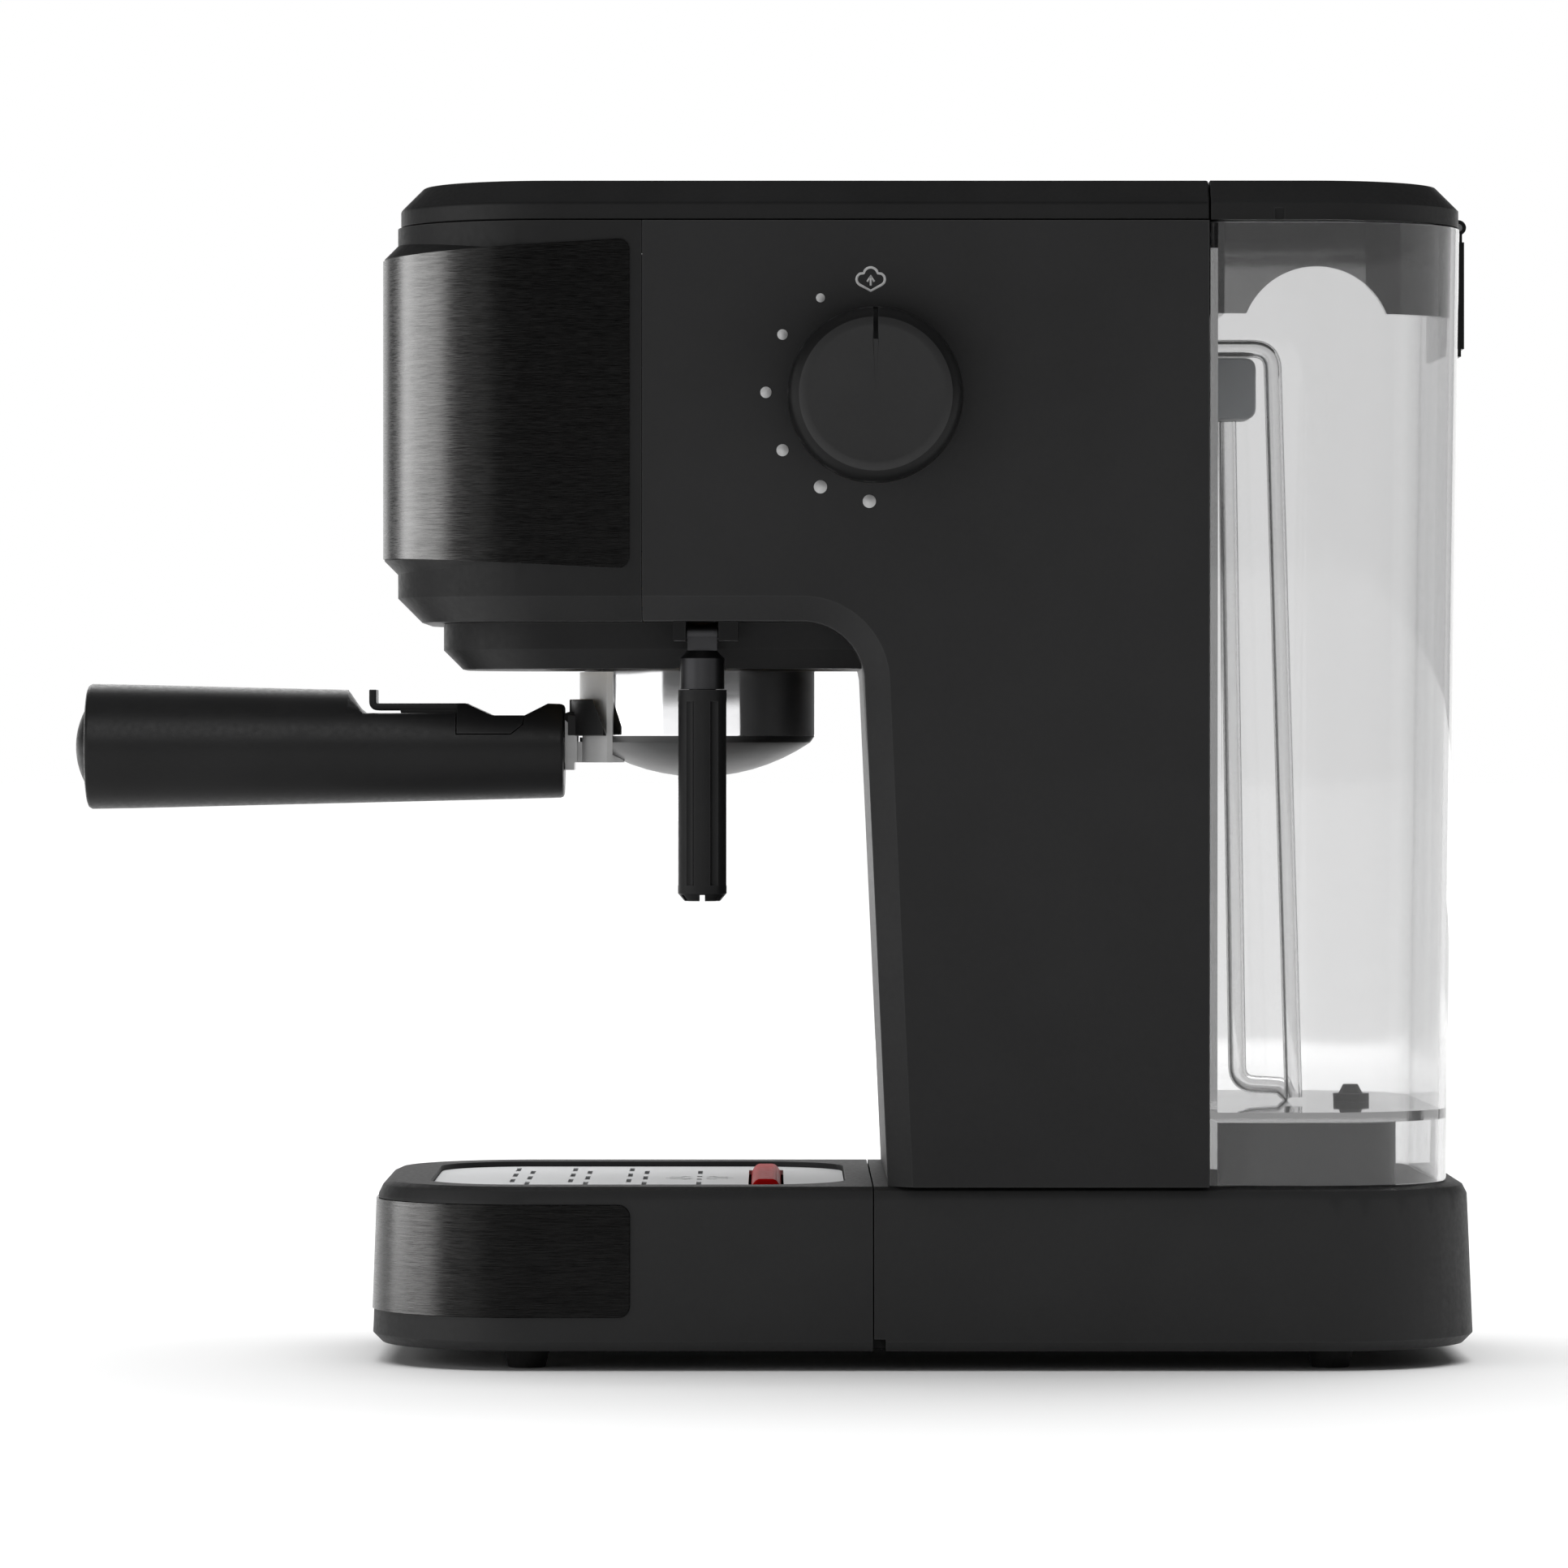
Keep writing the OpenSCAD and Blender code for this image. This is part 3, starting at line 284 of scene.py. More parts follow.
# Width of the rounded edges in millimetres; the other nodes keep theirs sharp
ROUNDED = {
    "front_shroud": 0.5, "top_cover": 0.5, "tank_lid": 0.5,
    "base_housing": 0.5, "tray_tub": 0.5, "group_skirt": 0.6, "arch_liner": 0.3, "base_plate": 0.5,
    "wand_bracket": 0.5, "tank_grip": 0.4, "tank_dock": 0.5, "float": 0.8, "portafilter_neck": 0.6,
}
# Edges flatter than this are shaded smooth
SMOOTH_BELOW = math.radians(38)


def dress(node, edge):
    """Give a CAD node its look and, where edge isn't 0, rounded edges that wide in millimetres."""
    obj = NODES[node]
    mesh = obj.data
    mesh.materials.clear()
    mesh.materials.append(MATERIALS[LOOK_OF.get(node, SLOT_OF[node])])
    if not edge:
        return
    bpy.context.view_layer.objects.active = obj
    if mesh.has_custom_normals:
        bpy.ops.mesh.customdata_custom_splitnormals_clear()
    weld = obj.modifiers.new("weld", "WELD")
    weld.merge_threshold = 1e-6
    merge = obj.modifiers.new("merge", "DECIMATE")
    merge.decimate_type = "DISSOLVE"
    merge.angle_limit = math.radians(0.6)
    soften(obj, edge)


def crease(obj, angle):
    """Shade an object sharp across edges steeper than an angle."""
    split = obj.modifiers.new("split", "EDGE_SPLIT")
    split.split_angle = angle


def soften(obj, width, angle=28, segments=3):
    """Round an object's sharp edges with a bevel that wide in millimetres, and shade it smooth."""
    for polygon in obj.data.polygons:
        polygon.use_smooth = True
    bevel = obj.modifiers.new("edge", "BEVEL")
    bevel.width = width * MM
    bevel.segments = segments
    bevel.limit_method = "ANGLE"
    bevel.angle_limit = math.radians(angle)
    bevel.miter_outer = "MITER_ARC"
    crease(obj, SMOOTH_BELOW)
    normals = obj.modifiers.new("normals", "WEIGHTED_NORMAL")
    normals.keep_sharp = True


for name in NODES:
    dress(name, ROUNDED.get(name, 0.0))


# ---- building new pieces ----

def centre(node):
    """Middle of a CAD node's box, in metres."""
    low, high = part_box(node)
    return (low + high) / 2


def axes(origin, u, v):
    """Matrix that takes (a, b, c) to origin + a u + b v + c (u x v)."""
    w = u.cross(v)
    rows = [(u[i], v[i], w[i], origin[i]) for i in range(3)]
    return Matrix((*rows, (0, 0, 0, 1)))


def finished(bm, name, body, slot, material=None, place=None, stands_for=()):
    """Turn a bmesh in millimetres into a piece that rides on a body."""
    bmesh.ops.recalc_face_normals(bm, faces=bm.faces)
    mesh = bpy.data.meshes.new(name)
    bm.to_mesh(mesh)
    bm.free()
    mesh.transform(Matrix.Scale(MM, 4))
    if place is not None:
        mesh.transform(place)
    obj = bpy.data.objects.new(name, mesh)
    scene.collection.objects.link(obj)
    for polygon in mesh.polygons:
        polygon.use_smooth = True
    mesh.materials.append(MATERIALS[material or slot])
    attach(obj, body)
    if stands_for:
        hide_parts(*stands_for)
    return obj


def fillet(points, radius, steps, closed=False):
    """Round the corners of a flat line; radius is one number, or one for each point."""
    count = len(points)
    radii = radius if isinstance(radius, (list, tuple)) else [radius] * count
    made = []
    for i, point in enumerate(points):
        here = Vector(point)
        if radii[i] <= 0 or (not closed and i in (0, count - 1)):
            made.append(here)
            continue
        before = Vector(points[i - 1]) - here
        after = Vector(points[(i + 1) % count]) - here
        half = before.angle(after) / 2
        back = min(radii[i] / math.tan(half), before.length * 0.49, after.length * 0.49)
        start, end = here + before.normalized() * back, here + after.normalized() * back
        for k in range(steps + 1):
            t = k / steps
            made.append(start * (1 - t) ** 2 + here * (2 * t * (1 - t)) + end * t ** 2)
    return made


def bridge(bm, first, second):
    """Quads between two closed rings; a ring of one vertex is a pole."""
    count = max(len(first), len(second))
    for i in range(count):
        j = (i + 1) % count
        corners = [first[i % len(first)], first[j % len(first)]]
        corners += [second[j % len(second)], second[i % len(second)]]
        unique = list(dict.fromkeys(corners))
        if len(unique) > 2:
            bm.faces.new(unique)


def lathe(profile, steps):
    """Solid of revolution about Z from points (radius, height)."""
    bm = bmesh.new()
    rings = []
    for radius, height in profile:
        if radius < 1e-6:
            rings.append([bm.verts.new((0, 0, height))])
        else:
            turn = [TAU * k / steps for k in range(steps)]
            rings.append([bm.verts.new((radius * math.cos(a), radius * math.sin(a), height)) for a in turn])
    for first, second in zip(rings, rings[1:]):
        bridge(bm, first, second)
    if len(rings[0]) > 1 and len(rings[-1]) > 1:
        bridge(bm, rings[-1], rings[0])
    return bm


def loft(sections, closed_ends=True):
    """Skin over closed sections, each a list of points in space."""
    bm = bmesh.new()
    rings = [[bm.verts.new(p) for p in section] for section in sections]
    for first, second in zip(rings, rings[1:]):
        bridge(bm, first, second)
    if closed_ends:
        bm.faces.new(rings[0])
        bm.faces.new(rings[-1])
    else:
        bridge(bm, rings[-1], rings[0])
    return bm


def slab(outline, low, high):
    """Flat outline raised between two heights."""
    return loft([[(x, y, z) for x, y in outline] for z in (low, high)])


def ribbon(path, width, low, high, closed=False):
    """Flat line of a given width along a path, raised between two heights."""
    points = [Vector(p) for p in path]
    count = len(points)
    left, right = [], []
    for i, point in enumerate(points):
        before = points[i - 1] if closed or i else point
        after = points[(i + 1) % count] if closed or i < count - 1 else point
        side = (after - before).normalized()
        side = Vector((-side.y, side.x)) * width / 2
        left.append(point + side)
        right.append(point - side)
    sections = [[(*a, low), (*a, high), (*b, high), (*b, low)] for a, b in zip(left, right)]
    return loft(sections, closed_ends=not closed)


def join(*parts):
    """One bmesh from several, which are freed."""
    whole = bmesh.new()
    for part in parts:
        mesh = bpy.data.meshes.new("part")
        part.to_mesh(mesh)
        part.free()
        whole.from_mesh(mesh)
        bpy.data.meshes.remove(mesh)
    return whole


def circle(radius, steps):
    """Points round the origin, anticlockwise from the first axis."""
    turns = [TAU * k / steps for k in range(steps)]
    return [(radius * math.cos(a), radius * math.sin(a)) for a in turns]


def arc(middle, radius, start, end, steps):
    """Points on a circle from one angle in degrees to another."""
    turns = [math.radians(start + (end - start) * k / steps) for k in range(steps + 1)]
    return [(middle[0] + radius * math.cos(a), middle[1] + radius * math.sin(a)) for a in turns]


def cut(obj, bm, place=None, operation="DIFFERENCE"):
    """Cut a closed bmesh in millimetres out of an object, or keep only what they share, as its new mesh."""
    bmesh.ops.recalc_face_normals(bm, faces=bm.faces)
    tool_mesh = bpy.data.meshes.new("tool")
    bm.to_mesh(tool_mesh)
    bm.free()
    tool_mesh.transform(Matrix.Scale(MM, 4))
    if place is not None:
        tool_mesh.transform(place)
    tool = bpy.data.objects.new("tool", tool_mesh)
    scene.collection.objects.link(tool)
    boolean = obj.modifiers.new("cut", "BOOLEAN")
    boolean.operation = operation
    boolean.solver = "EXACT"
    boolean.object = tool
    depsgraph = bpy.context.evaluated_depsgraph_get()
    result = bpy.data.meshes.new_from_object(obj.evaluated_get(depsgraph))
    obj.modifiers.remove(boolean)
    old, obj.data = obj.data, result
    result.name = old.name
    bpy.data.meshes.remove(old)
    bpy.data.objects.remove(tool)


def block(low, high):
    """Box between two corners."""
    bm = bmesh.new()
    bmesh.ops.create_cube(bm, size=1)
    middle = (Vector(low) + Vector(high)) / 2
    size = Vector(high) - Vector(low)
    for vert in bm.verts:
        vert.co = middle + vert.co * size
    return bm


def side_block(side, inner, outer, low, high):
    """Block on one side of the mid-plane, between two places along X and two corners (y, z)."""
    near, far = sorted((side * inner, side * outer))
    return block((near, *low), (far, *high))


# ---- steam knob and the marks round it ----

def make_knob():
    """Round knob with a rolled rim, a slightly dished face and an engraved pointer line."""
    low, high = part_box("knob")
    radius = (high.z - low.z) / 2 / MM
    depth = (high.x - low.x) / MM
    rim, face_r, dished = 5.2, 16.5, 0.35
    side = [(0, 0), (radius - 1.0, 0), (radius - 0.1, 0.8), (radius, 2.0), (radius, depth - rim)]
    rolled = arc((radius - rim, depth - rim), rim, 8, 90, 12)
    face = [(face_r, depth - 0.1), (0, depth - dished)]
    place = axes((low.x, centre("knob").y, centre("knob").z), Y_AXIS, Z_AXIS)
    shell = lathe(side + rolled + face, 128)
    knob = finished(shell, "knob_shell", "steam_knob", "black_plastic", None, place, ["knob"])
    line_start, line_end, line_half = 13.9, 21.9, 0.6
    below_top = [(line_start, -0.9), (face_r, -0.9), (19.4, -2.2), (20.9, -4.0), (line_end, -6.0),
                 (line_end + 3, -4), (line_end, 2), (line_start, 2)]
    groove = [[(a, r, depth + h) for r, h in below_top] for a in (-line_half, line_half)]
    cut(knob, loft(groove), place)
    knob.data.materials.append(MATERIALS["charcoal_plastic"])
    face_x = low.x + (depth - dished - 0.15) * MM
    for polygon in knob.data.polygons:
        if polygon.normal.x > 0.9 and polygon.center.x > face_x:
            polygon.material_index = 1
    soften(knob, 0.15, 40, 2)


def cloud_outline(width):
    """Outline of a three-lobed puff of steam, anticlockwise from its lower right."""
    unit = width / 8
    right = arc((2.1 * unit, 0), 1.7 * unit, -62, 62, 8)
    top = arc((0, 1.3 * unit), 1.9 * unit, 10, 170, 12)
    left = arc((-2.1 * unit, 0), 1.7 * unit, 118, 242, 8)
    return right + top + left + [(0, -3.1 * unit)]


def make_side_marks():
    """Six dots that grow with the knob's turn, and a puff of steam where it is closed."""
    lift = 0.95 * MM
    print_gap = 0.02 * MM
    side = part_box("side_cover_right")[1].x + print_gap
    place = axes((side, centre("knob").y, centre("knob").z + lift), Y_AXIS, Z_AXIS)
    ring_r, thick = 27.9, 0.06
    diameters = {120: 2.3, 148: 2.7, 180: 2.9, 212: 3.1, 240: 3.4, 267: 3.4}
    dots = []
    for angle, diameter in diameters.items():
        a = math.radians(angle)
        middle = Vector((ring_r * math.cos(a), ring_r * math.sin(a)))
        dots.append(slab([middle + Vector(p) for p in circle(diameter / 2, 28)], 0, thick))
    finished(join(*dots), "knob_dots", "machine", "white_dial", "grey_print", place)
    up = Vector((-1.1, ring_r + 1.0))
    puff = ribbon([up + Vector(p) for p in cloud_outline(7.6)], 0.62, 0, thick, True)
    jet = ribbon([up + Vector(p) for p in [(-0.9, -0.6), (0, 0.9), (0.9, -0.6)]], 0.55, 0, thick)
    stem = ribbon([up + Vector((0, 0.7)), up + Vector((0, -1.6))], 0.55, 0, thick)
    finished(join(puff, jet, stem), "steam_mark", "machine", "white_dial", "grey_print", place)


make_knob()
make_side_marks()


# ---- portafilter ----

# Millimetres; outlines are points (y, z)
HANDLE_LOW, HANDLE_HIGH = [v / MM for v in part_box("handle")]
HANDLE_Z = centre("handle_cap").z / MM
FRONT_R, REAR_R = 16.65, 13.6
PIN_Y, PIN_Z = -33.8, 166
CUP_FOOT = 162.6
SADDLE_IN, SADDLE_OUT, SADDLE_TOP = 32.9, 34.3, 172.2
NECK_CLEAR = 9.4
LEVER_HALF = 6.7
PAD = [(-63.8, 171.2), (-63.8, 163.2), (-49.6, 163.2), (-46.6, 165.6), (-46.3, 168), (-54.6, 168),
       (-61.6, 171.2)]
PAD_RECESS = [(-64.1, 162.9), (-49.5, 162.9), (-46.3, 165.5), (-46, 168), (-39.8, 171.2), (-39.8, 200),
              (-64.1, 200)]


def handle_radius(y):
    """Radius of the tapered grip at a place along it."""
    share = (y - HANDLE_LOW.y) / (HANDLE_HIGH.y - HANDLE_LOW.y)
    return FRONT_R + (REAR_R - FRONT_R) * share


def across(low, high, outline):
    """Flat outline, points (y, z), raised between two places along X."""
    return loft([[(x, y, z) for y, z in outline] for x in (low, high)])


def make_handle():
    """Tapered round grip with a recess along its top, a recess at each side and slots for lever and neck."""
    front, rear = HANDLE_LOW.y, HANDLE_HIGH.y
    recess, recess_end, floor, open_top = -88.5, -62, 8.8, 99
    inset = {front: 1.5, front + 0.35: 0.6, front + 1.2: 0.08, rear - 1.0: 0.05, rear - 0.3: 0.35, rear: 0.9}
    flat = {recess - 4.5: 15.2, recess - 4.1: 14.3, recess - 1.0: 9.7, recess - 0.2: 8.95,
            recess + 0.8: floor, recess_end: floor, recess_end + 0.1: open_top, rear: open_top}
    bends = sorted(flat)
    steps = sorted({*inset, *bends, *(front + 12 * k for k in range(1, 6))})

    def top_at(y):
        """Height above the handle's axis at which the recess cuts it."""
        if y <= bends[0]:
            return open_top
        after = next(bend for bend in bends if bend >= y)
        before = bends[bends.index(after) - 1]
        share = (y - before) / (after - before)
        return flat[before] + (flat[after] - flat[before]) * share

    sections = []
    for y in steps:
        radius = handle_radius(y) - inset.get(y, 0)
        sections.append([(x, y, HANDLE_Z + min(z, top_at(y))) for x, z in circle(radius, 72)])
    grip = finished(loft(sections), "handle_grip", "portafilter", "black_plastic", None, None, ["handle"])
    lever_slot, neck_slot, rib_half, above = 7.6, 7.05, 5, 200
    # Lever's slot, deeper at its rear
    cut(grip, block((-lever_slot, -80, HANDLE_Z + 4.4), (lever_slot, 0, above)))
    cut(grip, block((-lever_slot, -41, HANDLE_Z + 2.4), (lever_slot, 0, above)))
    for side in (-1, 1):
        cut(grip, across(side * rib_half, side * 20, PAD_RECESS))
    cut(grip, block((-neck_slot, -46.05, 155.55), (neck_slot, 0, 161.05)))
    cap_bore = circle(11.05, 64)
    cut(grip, loft([[(x, y, HANDLE_Z + z) for x, z in cap_bore] for y in (front - 1, front + 3)]))
    soften(grip, 0.45, 32)


def make_thumb_lever(half):
    """Upturned tab and channel with a skirt at each side, the hook behind them, the eye and two cheeks."""
    thick, skirt, eye_r = 1.9, 5.4, 3
    corners = [(-86.2, 174.8), (-86.2, 170.25), (-61.8, 170.25), (-54.8, 167.05), (-37, 167.05)]
    path = [(0, y, z) for y, z in fillet(corners, [0, 1.4, 5, 5, 0], 6)]
    strip = [(-half, -thick / 2), (half, -thick / 2), (half, thick / 2), (-half, thick / 2)]
    section = fillet(strip, 0.5, 3, True)
    sections = []
    for i, point in enumerate(path):
        ahead = Vector(path[min(i + 1, len(path) - 1)]) - Vector(path[max(i - 1, 0)])
        up = X_AXIS.cross(ahead.normalized())
        sections.append([Vector(point) + X_AXIS * a + up * b for a, b in section])
    sides = [(-79, 169.6), (-78, 165.4), (-37, 165.4), (-37, 166.6), (-54.6, 166.6), (-61.8, 169.8)]
    skirts = [across(side * skirt, side * (half - 0.05), sides) for side in (-1, 1)]
    eye = [[(x, PIN_Y + a, PIN_Z + b) for a, b in circle(eye_r, 32)] for x in (-half, half)]
    hook = [(-40, 168), (-40, 163.4), (-37, 162.7), (-SADDLE_IN, 162.7), (-SADDLE_IN, SADDLE_TOP),
            (-SADDLE_OUT, SADDLE_TOP), (-SADDLE_OUT, 168)]
    hook = fillet(hook, [0.8, 0.8, 0.8, 0.3, 0.3, 0.3, 0.6], 4, True)
    cheek = NECK_CLEAR + 1.2
    cheeks = [side_block(side, NECK_CLEAR, cheek, (-34.6, 162.7), (-31.8, 168)) for side in (-1, 1)]
    shape = join(loft(sections), *skirts, loft(eye), across(-4.9, 4.9, hook), *cheeks)
    lever = finished(shape, "thumb_lever", "lever", "black_plastic", None, None, ["basket_lever"])
    soften(lever, 0.3, 40, 2)


def make_pads(half):
    """Pads in the grip's two side recesses, flush with its round surface."""
    round_grip = [[(x, y, HANDLE_Z + z) for x, z in circle(handle_radius(y), 72)] for y in (-70, -40)]
    pads = finished(loft(round_grip), "thumb_pads", "lever", "black_plastic")
    cut(pads, across(-20, 20, PAD), None, "INTERSECT")
    cut(pads, block((-half, -70, 150), (half, -40, 200)))
    soften(pads, 0.35, 40, 2)


def make_saddle():
    """Saddle round the cup, sloped at its rear and notched where the neck's ears pass."""
    reach = 43
    band = [(SADDLE_IN, CUP_FOOT), (SADDLE_OUT, CUP_FOOT), (SADDLE_OUT, SADDLE_TOP), (SADDLE_IN, SADDLE_TOP)]
    edge = fillet(band, 0.4, 3, True)
    turns = [math.radians(-90 - reach + 2 * reach * k / 32) for k in range(33)]
    ring = [[(r * math.cos(a), r * math.sin(a), z) for r, z in edge] for a in turns]
    saddle = finished(loft(ring), "cup_saddle", "lever", "black_plastic")
    notch_from, notch_top = 5, 168.9
    for side in (-1, 1):
        cut(saddle, side_block(side, notch_from, NECK_CLEAR, (-40, 160), (-20, notch_top)))
    cut(saddle, across(-40, 40, [(-28.6, 174), (-20, 174), (-20, 161), (-23.6, 161)]))
    soften(saddle, 0.3, 40, 2)


def make_cup():
    """Polished cup with a rounded foot, a domed dish and two bayonet lugs."""
    radius, top = 30.5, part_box("portafilter_cup")[1].z / MM
    dish_r, dish_z = 51.8, 203.6
    wall_t = 2

    def dish(r, inset=0.0):
        """Height of the dish at a distance from the brew axis, or of a surface that far inside it."""
        return dish_z - math.sqrt((dish_r - inset) ** 2 - r ** 2)

    under = [(r, dish(r)) for r in (3, 6, 10, 14, 18, 22, 25.5, 28.2)]
    bore = radius - wall_t
    corners = [(28.2, dish(28.2)), (29.3, dish(29.3)), (radius, CUP_FOOT), (radius, top), (bore, top)]
    wall = fillet(corners, [0, 0.5, 0.8, 0.5, 0], 5)
    inner = [(bore, CUP_FOOT + 1)] + [(r, dish(r, wall_t)) for r in (26, 18, 10, 3)]
    bowl = lathe(under + [tuple(p) for p in wall[1:]] + inner, 128)
    lug_r, lug_z, lug_top = 36.6, 186, 190
    lugs = []
    for middle in (-90, 90):
        outer = arc((0, 0), lug_r, middle - 13.5, middle + 13.5, 10)
        back = arc((0, 0), radius - 1, middle + 15, middle - 15, 10)
        lugs.append(slab(outer + back, lug_z, lug_top))
    cup = finished(join(bowl, *lugs), "portafilter_bowl", "portafilter", "polished_steel", "chrome_cup",
                   None, ["portafilter_cup"])
    cup.data.materials.append(MATERIALS["satin_dish"])
    for polygon in cup.data.polygons:
        if polygon.center.z < CUP_FOOT * MM:
            polygon.material_index = 1
    crease(cup, math.radians(34))


make_handle()
make_thumb_lever(LEVER_HALF)
make_pads(LEVER_HALF)
make_saddle()
make_cup()


# ---- water tank ----

def hollow_pipe(points, corner):
    """Thin pipe with an open bore along a route at one place along X, with a corner radius at each point."""
    radius, bore, steps = 2.35, 1.55, 28
    route = [Vector(p) for p in fillet(points, corner, 8)]
    stations = []
    for i, point in enumerate(route):
        along = (route[min(i + 1, len(route) - 1)] - route[max(i - 1, 0)]).normalized()
        stations.append((point, along.cross(X_AXIS).normalized()))
    outside, inside = (
        [[point + X_AXIS * a + side * b for a, b in circle(r, steps)] for point, side in stations]
        for r in (radius, bore)
    )
    return loft(outside + inside[::-1], closed_ends=False)


def make_tubes():
    """Two clear pick-up tubes: one turned in through the front wall, one led along the floor to its foot."""
    wall_t, x, inlet_z = 2.1, 5.0, 264.8
    foot = (156.8, 67.2)
    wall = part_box("tank_shell")[0].y / MM + wall_t
    rear = hollow_pipe([(x, wall, inlet_z), (x, 151.2, inlet_z), (x, *foot)], [0, 5.5, 0])
    down = [(-x, 139.7, 262), (-x, 142.6, 70.4), (-x, 154.0, 69.8), (-x, *foot)]
    front = hollow_pipe(down, [0, 5.0, 2.0, 0])
    tubes = finished(join(rear, front), "clear_tubes", "tank", "clear_plastic", "clear_tube", None,
                     ["pickup_tubes"])
    crease(tubes, math.radians(50))


def make_clip():
    """Rounded grey block that holds both tubes against the front wall."""
    low, high = [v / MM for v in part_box("tube_clip")]
    corners = [(low.y, low.z), (high.y, low.z), (high.y, high.z), (low.y, high.z)]
    outline = fillet(corners, [1, 3.2, 3.2, 1], 6, True)
    clip = finished(across(low.x, high.x, outline), "tube_holder", "tank", "grey_plastic", None, None,
                    ["tube_clip"])
    soften(clip, 0.6, 40)


make_tubes()
make_clip()


# ---- gauge and buttons ----

def front_place(node, y):
    """Matrix for flat work that faces the front, centred on a node, at a depth in millimetres."""
    middle = centre(node)
    return axes((middle.x, y * MM, middle.z), X_AXIS, Z_AXIS)


def dial_point(radius, clockwise):
    """Point on the dial at an angle in degrees, clockwise from its top."""
    a = math.radians(90 - clockwise)
    return Vector((radius * math.cos(a), radius * math.sin(a)))


def numeral(value, size, middle):
    """Dial number as a flat mesh in millimetres."""
    half_thick = 0.03
    curve = bpy.data.curves.new("numeral", "FONT")
    curve.body = value
    curve.size = size
    curve.align_x = curve.align_y = "CENTER"
    curve.extrude = half_thick
    curve.resolution_u = 3
    text = bpy.data.objects.new("numeral", curve)
    mesh = bpy.data.meshes.new_from_object(text)
    bm = bmesh.new()
    bm.from_mesh(mesh)
    bmesh.ops.translate(bm, verts=bm.verts, vec=(middle.x, middle.y, half_thick))
    bpy.data.objects.remove(text)
    bpy.data.curves.remove(curve)
    bpy.data.meshes.remove(mesh)
    return bm


def make_dial_marks():
    """Scale from 0 to 15 in sixteen strokes, with a marked working range."""
    print_gap = 0.02
    place = front_place("gauge_dial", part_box("gauge_dial")[0].y / MM - print_gap)
    start, turn, full = 225, 270, 15
    rim_r, numeral_r, zone_r = 12.9, 8.5, 11.1

    def angle_of(value):
        """Angle of a scale value, in degrees clockwise from the top."""
        return start + turn * value / full

    strokes = []
    for value in range(full + 1):
        inner_r, width = (10.6, 0.5) if value % 5 == 0 else (11.7, 0.25)
        ends = [dial_point(rim_r, angle_of(value)), dial_point(inner_r, angle_of(value))]
        strokes.append(ribbon(ends, width, 0, 0.05))
    for value in range(0, full + 1, 5):
        strokes.append(numeral(str(value), 2.9, dial_point(numeral_r, angle_of(value))))
    finished(join(*strokes), "dial_scale", "machine", "white_dial", "black_print", place)
    zone_from, zone_to, steps = angle_of(8), angle_of(11), 14
    zone = [dial_point(zone_r, zone_from + (zone_to - zone_from) * k / steps) for k in range(steps + 1)]
    finished(ribbon(zone, 0.7, 0, 0.04), "dial_zone", "machine", "red_plastic", "red_print", place)


def make_button_icons():
    """Raised printed signs: on and off, a cup, and three plumes of steam."""
    thick = 0.32
    ring = ribbon(arc((0, -0.2), 2.6, 125, 415, 24), 0.5, 0, thick)
    power = join(ring, ribbon([(0, 0.4), (0, 3.2)], 0.5, 0, thick))
    bowl = fillet([(-2.6, 1.5), (-2.6, -1.2), (1.4, -1.2), (1.4, 1.5)], [0, 1.3, 1.3, 0], 5, True)
    ear = ribbon(arc((1.5, 0.3), 1.1, -80, 80, 10), 0.42, 0, thick)
    cup = join(ribbon(bowl, 0.45, 0, thick, True), ear, ribbon([(-3.2, -2.4), (2.2, -2.4)], 0.5, 0, thick))
    plumes = []
    for x in (-1.9, 0, 1.9):
        wave = [(x + 0.45 * math.sin(TAU * k / 12), -2.6 + 5.2 * k / 12) for k in range(13)]
        plumes.append(ribbon(wave, 0.45, 0, thick))
    signs = {"power": power, "coffee": cup, "steam": join(*plumes)}
    into_button = 0.66
    for sign, shape in signs.items():
        node = "button_" + sign
        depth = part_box(node)[0].y / MM + into_button
        place = front_place(node, depth)
        finished(shape, sign + "_sign", sign + "_button", "white_dial", "grey_print", place)


make_dial_marks()
make_button_icons()


# ---- fastenings under the base ----

def make_screws():
    """Four cross-head screws that hold the base plate."""
    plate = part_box("base_plate")[0].z / MM
    places = [(x, y) for x in (-40, 40) for y in (-30, 150)]
    profile = [(0, 0.1), (3.2, 0.1), (3.2, -0.3), (2.8, -0.9), (1.6, -1.2), (0, -1.3)]
    heads = []
    for x, y in places:
        head = lathe(profile, 32)
        bmesh.ops.translate(head, verts=head.verts, vec=(x, y, plate))
        heads.append(head)
    screws = finished(join(*heads), "base_screws", "machine", "bare_steel")
    slot_half, slot_width_half = 2.0, 0.35
    for x, y in places:
        for dx, dy in ((slot_half, slot_width_half), (slot_width_half, slot_half)):
            cut(screws, block((x - dx, y - dy, plate - 3), (x + dx, y + dy, plate - 0.7)))
    crease(screws, math.radians(34))


make_screws()


# ---- camera, light and floor ----

MACHINE_MIDDLE = Vector((0, 0, 0.2))


def make_camera():
    """Level view of the user's right side from about two metres."""
    data = bpy.data.cameras.new("camera")
    camera = bpy.data.objects.new("camera", data)
    scene.collection.objects.link(camera)
    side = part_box("side_cover_right")[1].x
    distance = 2.050
    data.sensor_width = 36
    data.lens = 184.1
    data.shift_x = 0.0083
    data.shift_y = -0.0254
    data.clip_end = 50
    data.dof.use_dof = False
    camera.location = (side + distance, 0.0189, 0.1604)
    camera.rotation_euler = (math.pi / 2, 0, math.pi / 2)
    scene.camera = camera


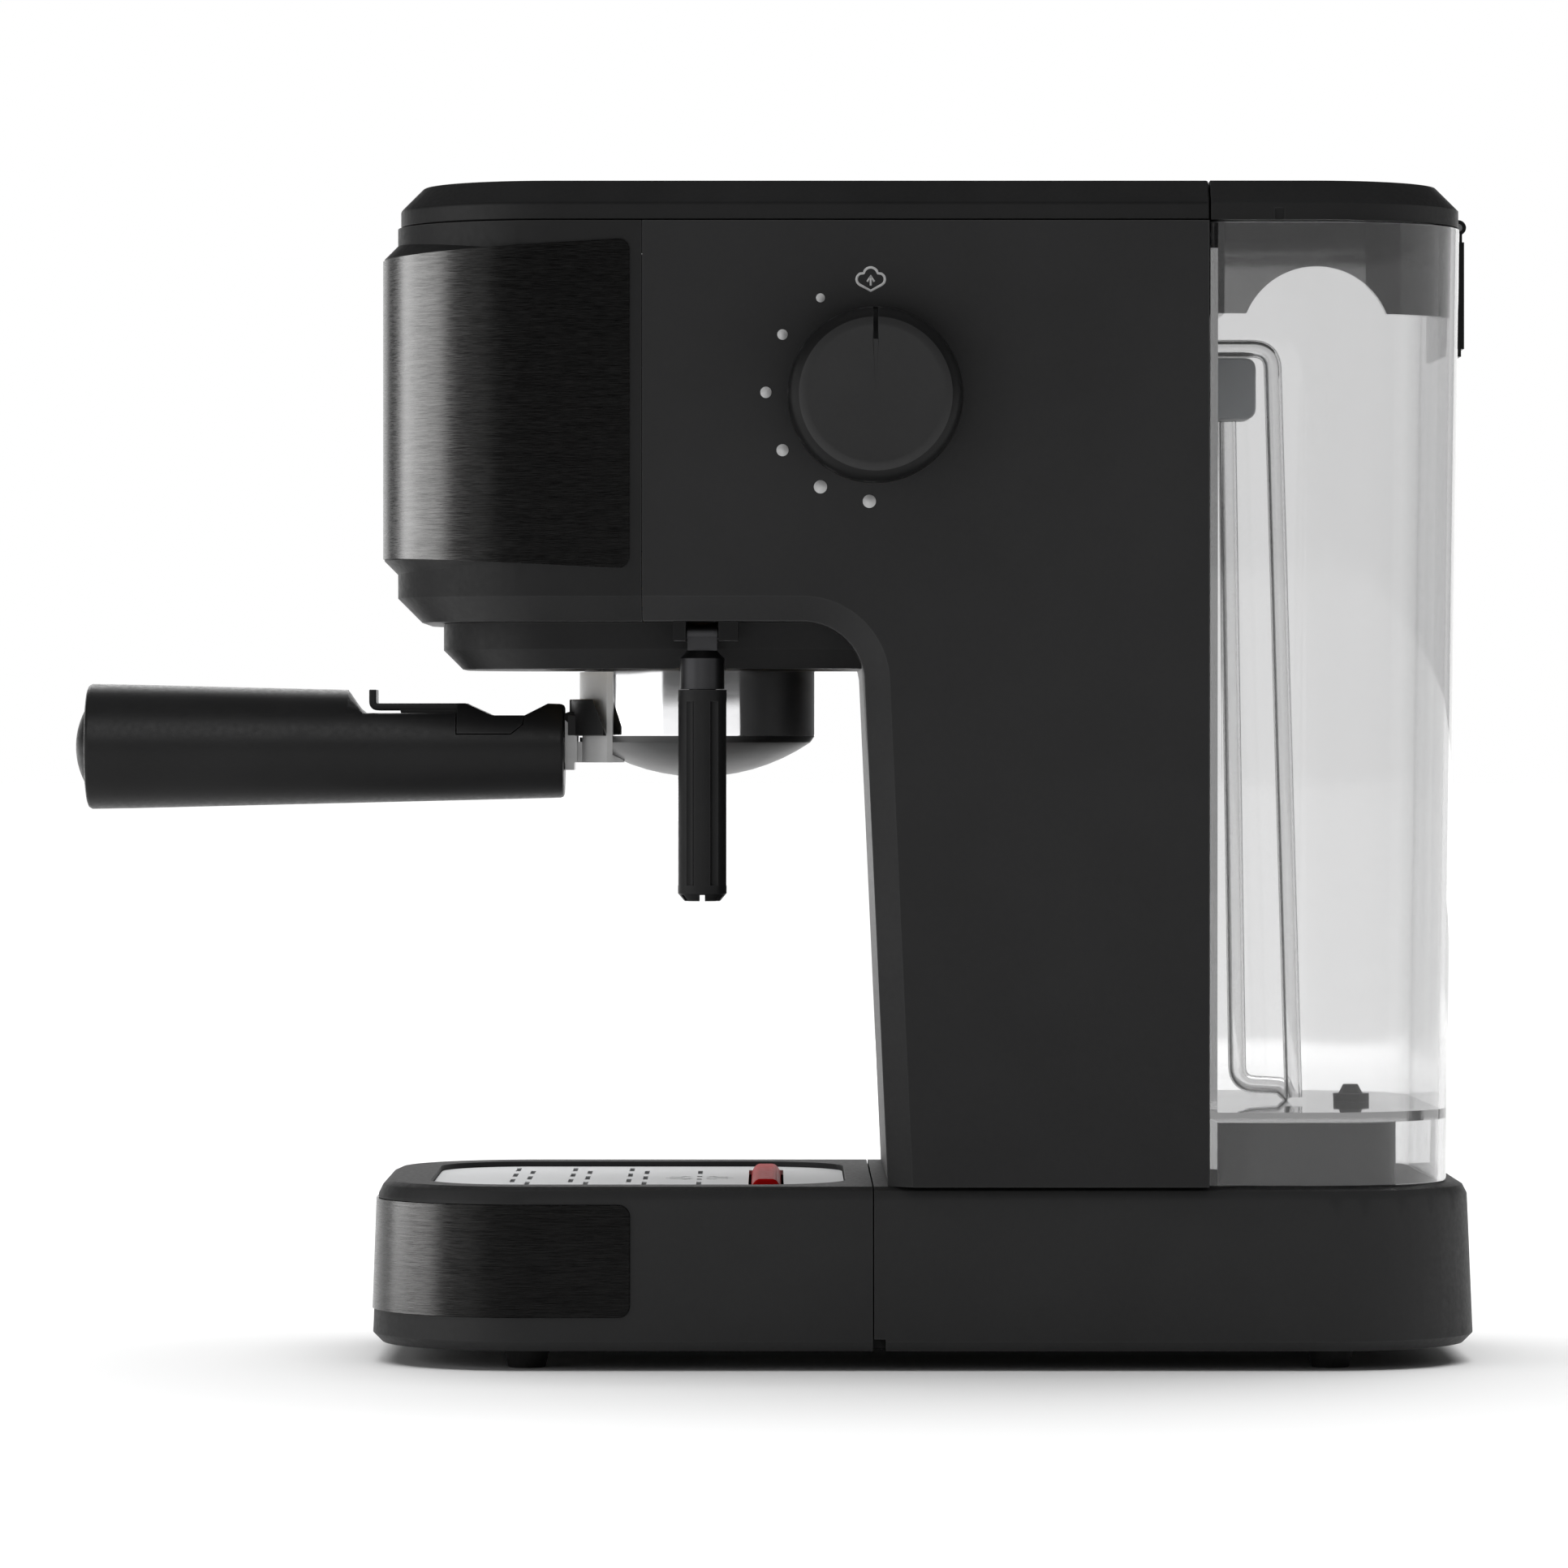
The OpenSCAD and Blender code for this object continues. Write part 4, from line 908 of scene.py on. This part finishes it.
def area_light(name, location, size, radiance, only=()):
    """Softbox whose face has a given brightness (the floor's white is 1); it may light some pieces only."""
    data = bpy.data.lights.new(name, "AREA")
    data.shape = "RECTANGLE"
    data.size, data.size_y = size
    data.energy = radiance * math.pi * size[0] * size[1]
    light = bpy.data.objects.new(name, data)
    light.visible_camera = False
    light.visible_transmission = False
    light.location = location
    aim = MACHINE_MIDDLE - Vector(location)
    light.rotation_euler = aim.to_track_quat("-Z", "Y").to_euler()
    scene.collection.objects.link(light)
    if only:
        lit = bpy.data.collections.new(name + "_lit")
        for obj in only:
            lit.objects.link(obj)
        light.light_linking.receiver_collection = lit


def make_floor():
    """Wide white table top."""
    half, thick = 30000, 40
    floor = slab([(-half, -half), (half, -half), (half, half), (-half, half)], -thick, 0)
    bmesh.ops.recalc_face_normals(floor, faces=floor.faces)
    mesh = bpy.data.meshes.new("floor")
    floor.to_mesh(mesh)
    floor.free()
    mesh.transform(Matrix.Scale(MM, 4))
    obj = bpy.data.objects.new("floor", mesh)
    scene.collection.objects.link(obj)
    g = Graph("floor")
    cloud = g.to_range(g.noise(3, 2), 0, 1)
    g.link(g.mix(cloud, (0.90, 0.90, 0.90), (0.92, 0.92, 0.92)), g.bsdf.inputs["Base Color"])
    g.set(Roughness=0.8, Specular_IOR_Level=0.1)
    mesh.materials.append(g.material)


def make_world():
    """White surroundings, dimmed where they light the object or reflect in it."""
    world = bpy.data.worlds.new("studio")
    world.use_nodes = True
    tree = world.node_tree
    background = tree.nodes["Background"]
    background.inputs["Color"].default_value = (1, 1, 1, 1)
    path = tree.nodes.new("ShaderNodeLightPath")
    either = tree.nodes.new("ShaderNodeMath")
    either.operation = "MAXIMUM"
    tree.links.new(path.outputs["Is Diffuse Ray"], either.inputs[0])
    tree.links.new(path.outputs["Is Glossy Ray"], either.inputs[1])
    opaque = tree.nodes.new("ShaderNodeMath")
    opaque.operation = "SUBTRACT"
    tree.links.new(either.outputs[0], opaque.inputs[0])
    tree.links.new(path.outputs["Is Transmission Ray"], opaque.inputs[1])
    strength = tree.nodes.new("ShaderNodeMapRange")
    seen, on_object = 1.0, 0.075
    strength.inputs["To Min"].default_value = seen
    strength.inputs["To Max"].default_value = on_object
    tree.links.new(opaque.outputs[0], strength.inputs["Value"])
    tree.links.new(strength.outputs["Result"], background.inputs["Strength"])
    scene.world = world


def make_light():
    """Broad light from above and softboxes, some of which light only the pieces that need a sheen."""
    data = bpy.data.lights.new("overhead", "SUN")
    data.energy = 3.8
    data.angle = math.radians(80)
    overhead = bpy.data.objects.new("overhead", data)
    overhead.visible_glossy = False
    overhead.location = (0, 0, 2)
    overhead.rotation_euler = (0, math.radians(-14), 0)
    scene.collection.objects.link(overhead)
    bands = [NODES["head_band"], NODES["tray_band"]]
    area_light("front_box", (0.73, -1.5, 0.35), (1.74, 1.2), 1.3)
    area_light("band_box", (-0.13, -1.5, 0.2), (1.30, 1.6), 15.0, bands)
    area_light("rear_box", (0.0, 1.6, 0.5), (1.2, 1.2), 0.3)
    area_light("far_box", (-2.2, 0.0, 0.45), (3.0, 0.8), 1.2)
    grips = [bpy.data.objects[name] for name in ("handle_grip", "thumb_lever", "thumb_pads", "cup_saddle")]
    grips += [NODES["wand_sleeve"], NODES["wand_tube"]]
    for side in (-1, 1):
        area_light("side_box", (side * 1.5, -0.2, 1.1), (1.2, 1.1), 3.2, grips)
    scene.view_settings.view_transform = "Standard"
    scene.view_settings.look = "None"


make_camera()
make_floor()
make_world()
make_light()
